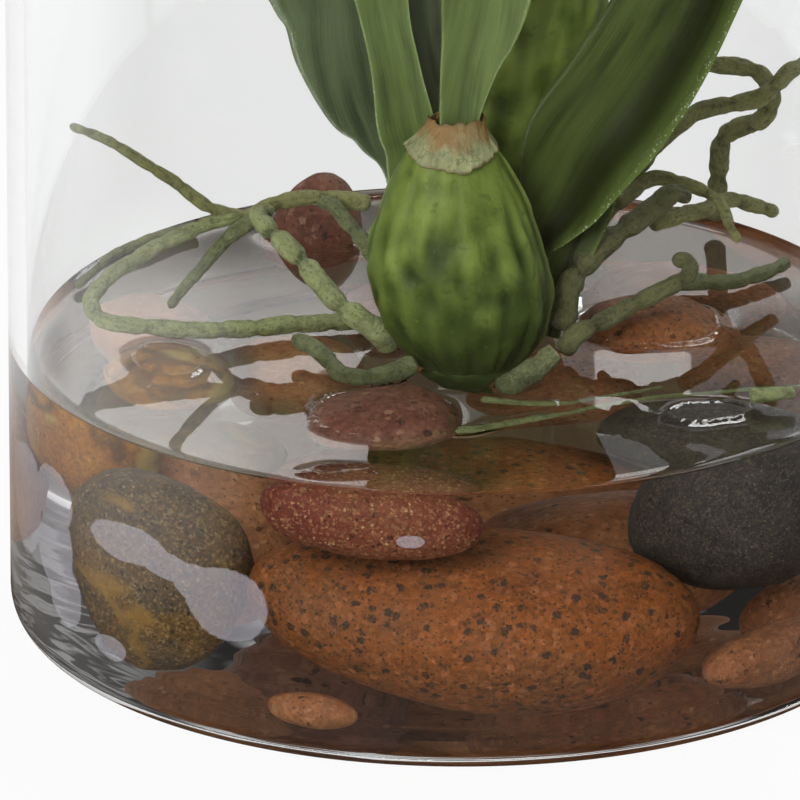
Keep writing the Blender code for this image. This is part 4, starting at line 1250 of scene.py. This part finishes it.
def make_bloom(name, material):
    """Five petals round the middle, with the column and the stalk that carries the bloom."""
    centre, forward, across, upward, joint = bloom_frame(name)
    points, heart, uv, faces = [], [], [], []

    def take(part_points, part_heart, part_uv, rings, count):
        first = len(points)
        points.extend(part_points)
        heart.extend(part_heart)
        uv.extend(part_uv)
        faces.extend(tuple(first + index for index in face) for face in tube_faces(rings, count))

    for i in range(PETALS):
        turn = math.pi / 2 + 2 * math.pi * i / PETALS
        outward = across * math.cos(turn) + upward * math.sin(turn)
        width, lift = SIDE_PETAL if i in SIDE_PETALS else OTHER_PETAL
        take(*petal(centre + forward * lift, forward, outward, width, i + 7 * len(name)),
             PETAL_ROWS + 1, 2 * (PETAL_COLUMNS + 1))
    column = (centre - forward * 3, centre + forward * 3 + upward, centre + forward * 9 - upward * 0.5)
    stalk = (centre - forward * 1.0, centre - forward * 14, joint + (centre - joint).normalized() * 2.0)

    def column_reach(t, *_):
        return (2.3 + 0.7 * t) * math.sqrt(max(1 - max(t - 0.8, 0) ** 2 * 22, 0.05))

    def stalk_reach(t, *_):
        return 2.3 - 0.9 * t + 0.3 * bell(t - 0.15, 0.1)

    tubes = ((column, COLUMN_STEPS, column_reach, 0.7), (stalk, STALK_STEPS, stalk_reach, 1.0))
    for middles, steps, reach, level in tubes:
        route = smooth_route(middles, steps)
        tube = tube_points(route, STALK_SIDES, reach)
        take(tube, [level] * len(tube), [(0, 0)] * len(tube), len(route), STALK_SIDES)
    return new_piece(name + "_petals", points, faces, name, [material], {"heart": heart}, uv)


def make_lip(name, material):
    """The lip: a spreading, ruffled apron that hangs from under the column."""
    centre, forward, across, upward, _ = bloom_frame(name)
    points, heart = [], []
    for row in range(LIP_ROWS + 1):
        t = row / LIP_ROWS
        middle = centre + forward * (3.0 + 15.0 * t - 3.0 * t * t)
        drop = -2.0 - 13.0 * t ** 1.7
        half = 2.6 + 8.0 * math.sin(math.pi * min(t * 0.92 + 0.04, 1.0)) ** 1.2
        half *= 1 - 0.85 * soft_step(t, 0.86, 1.0)
        for side, u in across_sheet(LIP_COLUMNS):
            ruffle = 0.8 * math.sin(u * 9 + t * 11) * u * u * soft_step(t, 0.2, 0.6)
            spot = middle + across * (u * half) + upward * (drop + 3.0 * u * u * (1 - t) + ruffle)
            points.append(spot + (upward + forward * 0.3) * 0.35 * side * (1 - 0.7 * abs(u) ** 4))
            heart.append((1 - t) * (1 - 0.5 * abs(u)))
    lip = name.replace("bloom", "lip")
    faces = tube_faces(LIP_ROWS + 1, 2 * (LIP_COLUMNS + 1))
    return new_piece(lip + "_apron", points, faces, lip, [material], {"heart": heart})


def make_bud(name, material):
    """A closed bud, fullest at its middle, with three seams along it."""
    start, tip, half = BUDS[name]
    start, tip = Vector(start), Vector(tip)
    start -= (tip - start).normalized() * BUD_OVERLAP
    route = smooth_route((start, start.lerp(tip, 0.5), tip), BUD_STEPS)

    def reach(t, spot, way, turn):
        seam = bell(math.cos(1.5 * turn), 0.16)
        return half * max(math.sin(math.pi * (0.06 + 0.88 * t) ** 0.9), 0.1) * (1 - 0.10 * seam)

    heart = [0.9 - 0.5 * k / (len(route) - 1) for k in range(len(route)) for _ in range(BUD_SIDES)]
    points, faces = tube_points(route, BUD_SIDES, reach), tube_faces(len(route), BUD_SIDES)
    return new_piece(name + "_closed", points, faces, name, [material], {"heart": heart})


def make_spike(material):
    """The flower spike's stem, a little swollen at its joints."""
    route = smooth_route(SPIKE, SPIKE_STEPS)

    def joint(t):
        return bell(t * SPIKE_JOINTS % 1 - 0.5, 0.05)

    def reach(t, spot, way, turn):
        return SPIKE_HALF * (1 - 0.35 * t) * (1 + 0.14 * joint(t) + 0.05 * noise.noise(spot * 0.3 + way))

    # Painted light on the relief: the spike's colour is paler at its swollen joints.
    ridge = [0.6 + 0.3 * joint(k / (len(route) - 1)) for k in range(len(route)) for _ in range(SPIKE_SIDES)]
    points, faces = tube_points(route, SPIKE_SIDES, reach), tube_faces(len(route), SPIKE_SIDES)
    marks = {"ridge": ridge, "cut": [0.0] * len(ridge)}
    return new_piece("spike_stem", points, faces, "flower_spike", [material], marks)


# ---------------------------------------------------------------- stage

# The spot that the camera looks at, and the width and distance of its view, for the vase's radius.
LOOK_AT = Vector((-0.135, 0.0, 0.49)) * VASE_RADIUS * MM
VIEW_WIDTH = 1.77 * VASE_RADIUS * MM
VIEW_DISTANCE = 34.0 * VASE_RADIUS * MM
VIEW_ELEVATION = 20.9
SENSOR = 36.0
CLIPS = (0.1, 100.0)
FLOOR_REACH = 45.0
# How bright the room is where it is mirrored: behind the vase, at its right side, and all else.
BEHIND_LEVEL = 0.62
BESIDE_LEVEL = 0.32
DIM_LEVEL = 0.02
# Where behind and beside begin, as the part of a mirrored direction along y and x, and the side's bands.
BEHIND_EDGE = (0.85, 0.915)
BESIDE_EDGE = (0.30, 0.75)
BAND_STRETCH = (1, 1.5, 13)
# Bright cards that only the water and the glass mirror: middle, half sizes across and up, level and softness.
CARD_DEPTH = 1.0
CARD_SPACING = 0.002
CARD_TINT = (1.0, 0.965, 0.95)
CARDS = {
    "soft_card": ((-0.12, 0.479), (0.12, 0.074), 2.3, 0.37),
    "far_card": ((0.110, 0.405), (0.085, 0.034), 1.7, 0.5),
    "window_card": ((0.072, 0.4562), (0.0195, 0.0138), 2.3, 0.08),
}
# The bright patch of floor beside the vase that the left of the wall mirrors: middle, half sizes and level.
FLOOR_PATCH = ((-0.27, -0.08), (0.15, 0.17), 1.25)
# How bright the ring of floor close round the foot is where the foot mirrors it.
RING_LEVEL = 0.28
# As shares of the vase's radius: where the ring begins and ends, where the floor turns pale farther out, where
# the mirrored floor turns pale from front to back, and where the floor's glow under the vase ends.
RING_INSIDE = (1.02, 1.12)
RING_OUTSIDE = (1.25, 1.7)
PALE_FROM = (1.0, 2.4)
AHEAD_EDGE = (-1.0, 1.2)
BENEATH_EDGE = (0.8, 1.1)
# Colours of the floor that glass shows: close round the vase, in that ring and in the patch; and the glow that
# the floor gives off under the vase, which only diffuse rays see and which lights the stones from beneath.
NEAR_FLOOR = (0.062, 0.044, 0.028)
RING_COLOUR = (1.0, 0.92, 0.86)
PATCH_COLOUR = (1.0, 0.98, 0.96)
BENEATH_COLOUR = (0.52, 0.50, 0.46)
# How much of the floor that the camera sees is plain white.
FLOOR_WHITE = 0.9
# Each lamp's place, and its size across and up. Both point at one spot on the vase.
LAMPS = {"key": ((-1.07, -2.44, 1.45), (1.37, 1.37)), "back": ((0.70, 1.96, 1.76), (1.26, 0.56))}
LAMPS_AT = Vector((0.0, 0.0, 0.15))


def make_lamp(name, power):
    """A soft lamp, turned to the vase and hidden from the camera."""
    place, size = LAMPS[name]
    data = bpy.data.lights.new(name + "_lamp", "AREA")
    data.shape = "RECTANGLE"
    data.size, data.size_y = size
    data.energy = power
    made = bpy.data.objects.new(name + "_lamp", data)
    made.location = place
    made.rotation_euler = (LAMPS_AT - Vector(place)).to_track_quat("-Z", "Y").to_euler()
    made.visible_camera = False
    bpy.context.scene.collection.objects.link(made)


def stage_plane(name, corners, material):
    """A flat stage piece, which isn't part of the vase."""
    mesh = bpy.data.meshes.new(name)
    mesh.from_pydata(corners, [], [(0, 1, 2, 3)])
    mesh.materials.append(material)
    made = bpy.data.objects.new(name, mesh)
    bpy.context.scene.collection.objects.link(made)
    return made


def make_camera():
    """The camera, far off, a little above the vase and turned to its lower half."""
    scene = bpy.context.scene
    elevation = math.radians(VIEW_ELEVATION)
    back = Vector((0.0, -math.cos(elevation), math.sin(elevation)))
    data = bpy.data.cameras.new("camera")
    data.sensor_width = SENSOR
    data.lens = SENSOR * VIEW_DISTANCE / VIEW_WIDTH
    data.clip_start, data.clip_end = CLIPS
    camera = bpy.data.objects.new("camera", data)
    camera.location = LOOK_AT + back * VIEW_DISTANCE
    camera.rotation_euler = (-back).to_track_quat("-Z", "Y").to_euler()
    scene.collection.objects.link(camera)
    scene.camera = camera


def make_floor(colour):
    """A pale floor. Seen in glass it is dark close round the vase and in front of it, as in a dim room."""
    paint = Paint("pale_floor")
    own = paint.place()
    across, depth, _ = paint.parts(own)
    away = paint.node("VectorMath", {"operation": "LENGTH"}, {0: own}, "Value")

    def past(distance, shares):
        return paint.step(distance, *(share * VASE_RADIUS * MM for share in shares))

    bounced = paint.ray("Glossy Depth").at_most(1.0)
    level = past(away, PALE_FROM) * (1.0 - bounced * (1.0 - past(depth, AHEAD_EDGE)))
    shade = paint.mix(level, NEAR_FLOOR, WHITE)
    ring = past(away, RING_INSIDE) * (1.0 - past(away, RING_OUTSIDE))
    shown = paint.glow(paint.mix(ring * bounced * RING_LEVEL, shade, RING_COLOUR))
    (middle_x, middle_y), (half_x, half_y), patch_level = FLOOR_PATCH
    off_x, off_y = (across - middle_x) / half_x, (depth - middle_y) / half_y
    patch = paint.fall(off_x * off_x + off_y * off_y, 0.1, 1.0)
    streaks = 0.8 + 0.3 * paint.grain(paint.place((0.15, 1, 1)), 40.0, 2.0)
    shown = paint.blend(patch * streaks * bounced, shown, paint.glow(PATCH_COLOUR, patch_level))
    matt = paint.node("BsdfDiffuse", None, {"Color": colour})
    # Painted light: under the vase the floor glows for diffuse rays, a hidden light on the stones' undersides.
    beneath = paint.ray("Is Diffuse Ray") * (1.0 - past(away, BENEATH_EDGE))
    bare = paint.blend(paint.ray("Is Camera Ray") * FLOOR_WHITE, matt, paint.glow(WHITE))
    bare = paint.blend(beneath, bare, paint.glow(BENEATH_COLOUR))
    in_glass = paint.ray("Is Transmission Ray").at_least(paint.ray("Is Glossy Ray"))
    corners = [(x * FLOOR_REACH, y * FLOOR_REACH, 0) for x, y in ((-1, -1), (1, -1), (1, 1), (-1, 1))]
    stage_plane("floor", corners, paint.done(paint.blend(in_glass, bare, shown)))


def make_card(name, order):
    """A bright card behind the vase, hidden from the camera, that only the water and the glass mirror."""
    middle, half, level, soft = CARDS[name]
    paint = Paint(name)
    across, _, height = paint.parts(paint.place())
    reach_x, reach_z = abs(across - middle[0]) / half[0], abs(height - middle[1]) / half[1]
    edge = paint.fall(reach_x, 1.0 - soft, 1.0) * paint.fall(reach_z, 1.0 - soft, 1.0)
    depth = CARD_DEPTH - CARD_SPACING * order
    corners = [(middle[0] + x * half[0], depth, middle[1] + z * half[1])
               for x, z in ((-1, -1), (1, -1), (1, 1), (-1, 1))]
    glow = paint.glow(CARD_TINT, level)
    card = stage_plane(name, corners, paint.done(paint.blend(edge, paint.clear(), glow)))
    card.visible_camera = False
    card.visible_diffuse = False
    card.visible_shadow = False


def make_world(sky):
    """Even light from all round. What is mirrored is bright behind the vase, dim beside it and in front."""
    paint = Paint("studio", "worlds")
    around = paint.node("TexCoord", None, None, "Generated")
    across, depth, _ = paint.parts(around)
    behind = paint.step(depth, *BEHIND_EDGE) * BEHIND_LEVEL
    bands = paint.node("Mapping", None, {"Vector": around, "Scale": BAND_STRETCH})
    bands = paint.step(paint.grain(bands, 2.6, 3.0), 0.44, 0.58)
    beside = paint.step(across, *BESIDE_EDGE) * (0.25 + 0.9 * bands) * BESIDE_LEVEL
    bounced = paint.ray("Glossy Depth").at_most(1.0)
    level = bounced * (behind.at_least(beside).at_least(DIM_LEVEL) - 1.0) + 1.0
    for kind, fixed in (("Is Diffuse Ray", sky), ("Is Camera Ray", 1.0)):
        level = level + paint.ray(kind) * (fixed - level)
    backdrop = paint.node("Background", None, {"Strength": level})
    bpy.context.scene.world = paint.done(backdrop, "OutputWorld")


def make_stage(settings):
    """The camera and all that is round the vase: floor, cards, room and lamps."""
    bpy.context.scene.view_settings.view_transform = "Standard"
    make_camera()
    make_floor(settings.floor)
    make_world(settings.sky)
    for order, name in enumerate(CARDS):
        make_card(name, order)
    make_lamp("key", settings.key)
    make_lamp("back", settings.back)


# ---------------------------------------------------------------- operators


class ORCHID_OT_stage(bpy.types.Operator):
    """Make the floor, the lamps and the camera"""

    bl_idname = "orchid.stage"
    bl_label = "Stage"

    def execute(self, context):
        make_stage(context.scene.orchid_stage)
        return {"FINISHED"}


class ORCHID_OT_vase(bpy.types.Operator):
    """Make the glass vase"""

    bl_idname = "orchid.vase"
    bl_label = "Vase"

    def execute(self, context):
        make_vase(context.scene.orchid_vase)
        return {"FINISHED"}


class ORCHID_OT_stones(bpy.types.Operator):
    """Make the river stones"""

    bl_idname = "orchid.stones"
    bl_label = "River stones"

    def execute(self, context):
        make_stones()
        return {"FINISHED"}


class ORCHID_OT_bulbs(bpy.types.Operator):
    """Make the two pseudobulbs and the dry husk"""

    bl_idname = "orchid.bulbs"
    bl_label = "Pseudobulbs and husk"

    def execute(self, context):
        settings = context.scene.orchid_plant
        make_bulb("bulb_front", bulb_finish("bulb_green", settings))
        make_bulb("bulb_back", bulb_finish("bulb_green_back", settings, 1.04))
        make_husk(husk_finish(settings))
        return {"FINISHED"}


class ORCHID_OT_leaves(bpy.types.Operator):
    """Make the leaves and their sheaths"""

    bl_idname = "orchid.leaves"
    bl_label = "Leaves"

    def execute(self, context):
        settings = context.scene.orchid_plant
        green = leaf_finish("leaf_green", settings, (0.97, 0.97, 0.88), 0.45, 0.16, 0.25)
        # The far-left leaf is a darker green of its own; the extra blue in its shade is a painted bluish-grey
        # reflection.
        dark = leaf_finish("leaf_dark", settings, (0.72, 0.68, 1.05), 0.3, 0.3, 0.6, 0.6)
        glossy = leaf_finish("leaf_glossy", settings, (0.47, 0.46, 0.33), 0.36, 0.8, 0.95, 0.16)
        special = {"leaf_far_left": dark, "leaf_right": glossy, "leaf_sheath_right": glossy}
        for name in LEAVES:
            make_leaf(name, special.get(name, green))
        return {"FINISHED"}


class ORCHID_OT_roots(bpy.types.Operator):
    """Make the roots"""

    bl_idname = "orchid.roots"
    bl_label = "Roots"

    def execute(self, context):
        settings = context.scene.orchid_plant
        plain = root_finish("root_green", settings, (1.0, 1.0, 1.0))
        groups = ((root_finish("root_pale", settings, (1.8, 1.77, 1.72)), ROOTS_PALE),
                  # A darker copy for the brown roots: a browner tone, with painted shade where a leaf shadows
                  # the thick root.
                  (root_finish("root_brown_and_shaded", settings, (0.78, 0.71, 0.63)), ROOTS_BROWN_AND_SHADED),
                  (root_finish("root_dark", settings, (1.55, 1.40, 1.20)), ROOTS_DARK))
        shades = {name: root for root, names in groups for name in names}
        for name in ROOTS:
            make_root(name, shades.get(name, plain))
        return {"FINISHED"}


class ORCHID_OT_flowers(bpy.types.Operator):
    """Make the flower spike, its blooms and its buds"""

    bl_idname = "orchid.flowers"
    bl_label = "Flowers"

    def execute(self, context):
        settings = context.scene.orchid_flower
        petals = petal_finish(settings)
        apron = lip_finish(settings)
        make_spike(root_finish("spike_green", context.scene.orchid_plant, (0.9, 0.95, 0.8)))
        for name in BLOOMS:
            make_bloom(name, petals)
            make_lip(name, apron)
        for name in BUDS:
            make_bud(name, petals)
        return {"FINISHED"}


# How the names of the pieces begin that may stand in the water.
STANDING = ("river_stone", "bulb", "blade", "air_root", "spike")


class ORCHID_OT_water(bpy.types.Operator):
    """Make the cast water round all that stands in it"""

    bl_idname = "orchid.water"
    bl_label = "Cast water"

    def execute(self, context):
        pieces = [thing for thing in context.scene.objects if thing.type == "MESH"]
        standing = [piece for piece in pieces if piece.name.startswith(STANDING)]
        if not standing:
            raise RuntimeError("make the stones and the plant before the water")
        make_water(context.scene.orchid_vase, standing)
        return {"FINISHED"}


OPERATORS = (ORCHID_OT_stage, ORCHID_OT_vase, ORCHID_OT_stones, ORCHID_OT_bulbs, ORCHID_OT_leaves,
             ORCHID_OT_roots, ORCHID_OT_flowers, ORCHID_OT_water)
GROUPS = {"orchid_vase": VaseSettings, "orchid_plant": PlantSettings, "orchid_flower": FlowerSettings,
          "orchid_stage": StageSettings}


class ORCHID_PT_panel(bpy.types.Panel):
    """The orchid's operators and settings in the 3D view's sidebar"""

    bl_label = "Orchid in Glass Vase"
    bl_idname = "ORCHID_PT_panel"
    bl_space_type = "VIEW_3D"
    bl_region_type = "UI"
    bl_category = "Orchid"

    def draw(self, context):
        for operator in OPERATORS:
            self.layout.operator(operator.bl_idname)
        for key, group in GROUPS.items():
            settings = getattr(context.scene, key)
            for name in group.__annotations__:
                self.layout.prop(settings, name)


def register():
    for thing in (*GROUPS.values(), *OPERATORS, ORCHID_PT_panel):
        bpy.utils.register_class(thing)
    for key, group in GROUPS.items():
        setattr(bpy.types.Scene, key, bpy.props.PointerProperty(type=group))


def unregister():
    for key in GROUPS:
        delattr(bpy.types.Scene, key)
    for thing in reversed((*GROUPS.values(), *OPERATORS, ORCHID_PT_panel)):
        bpy.utils.unregister_class(thing)


def main():
    register()
    for operator in OPERATORS:
        group, name = operator.bl_idname.split(".")
        getattr(getattr(bpy.ops, group), name)()
    bpy.context.view_layer.update()
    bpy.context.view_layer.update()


if __name__ == "__main__":
    main()
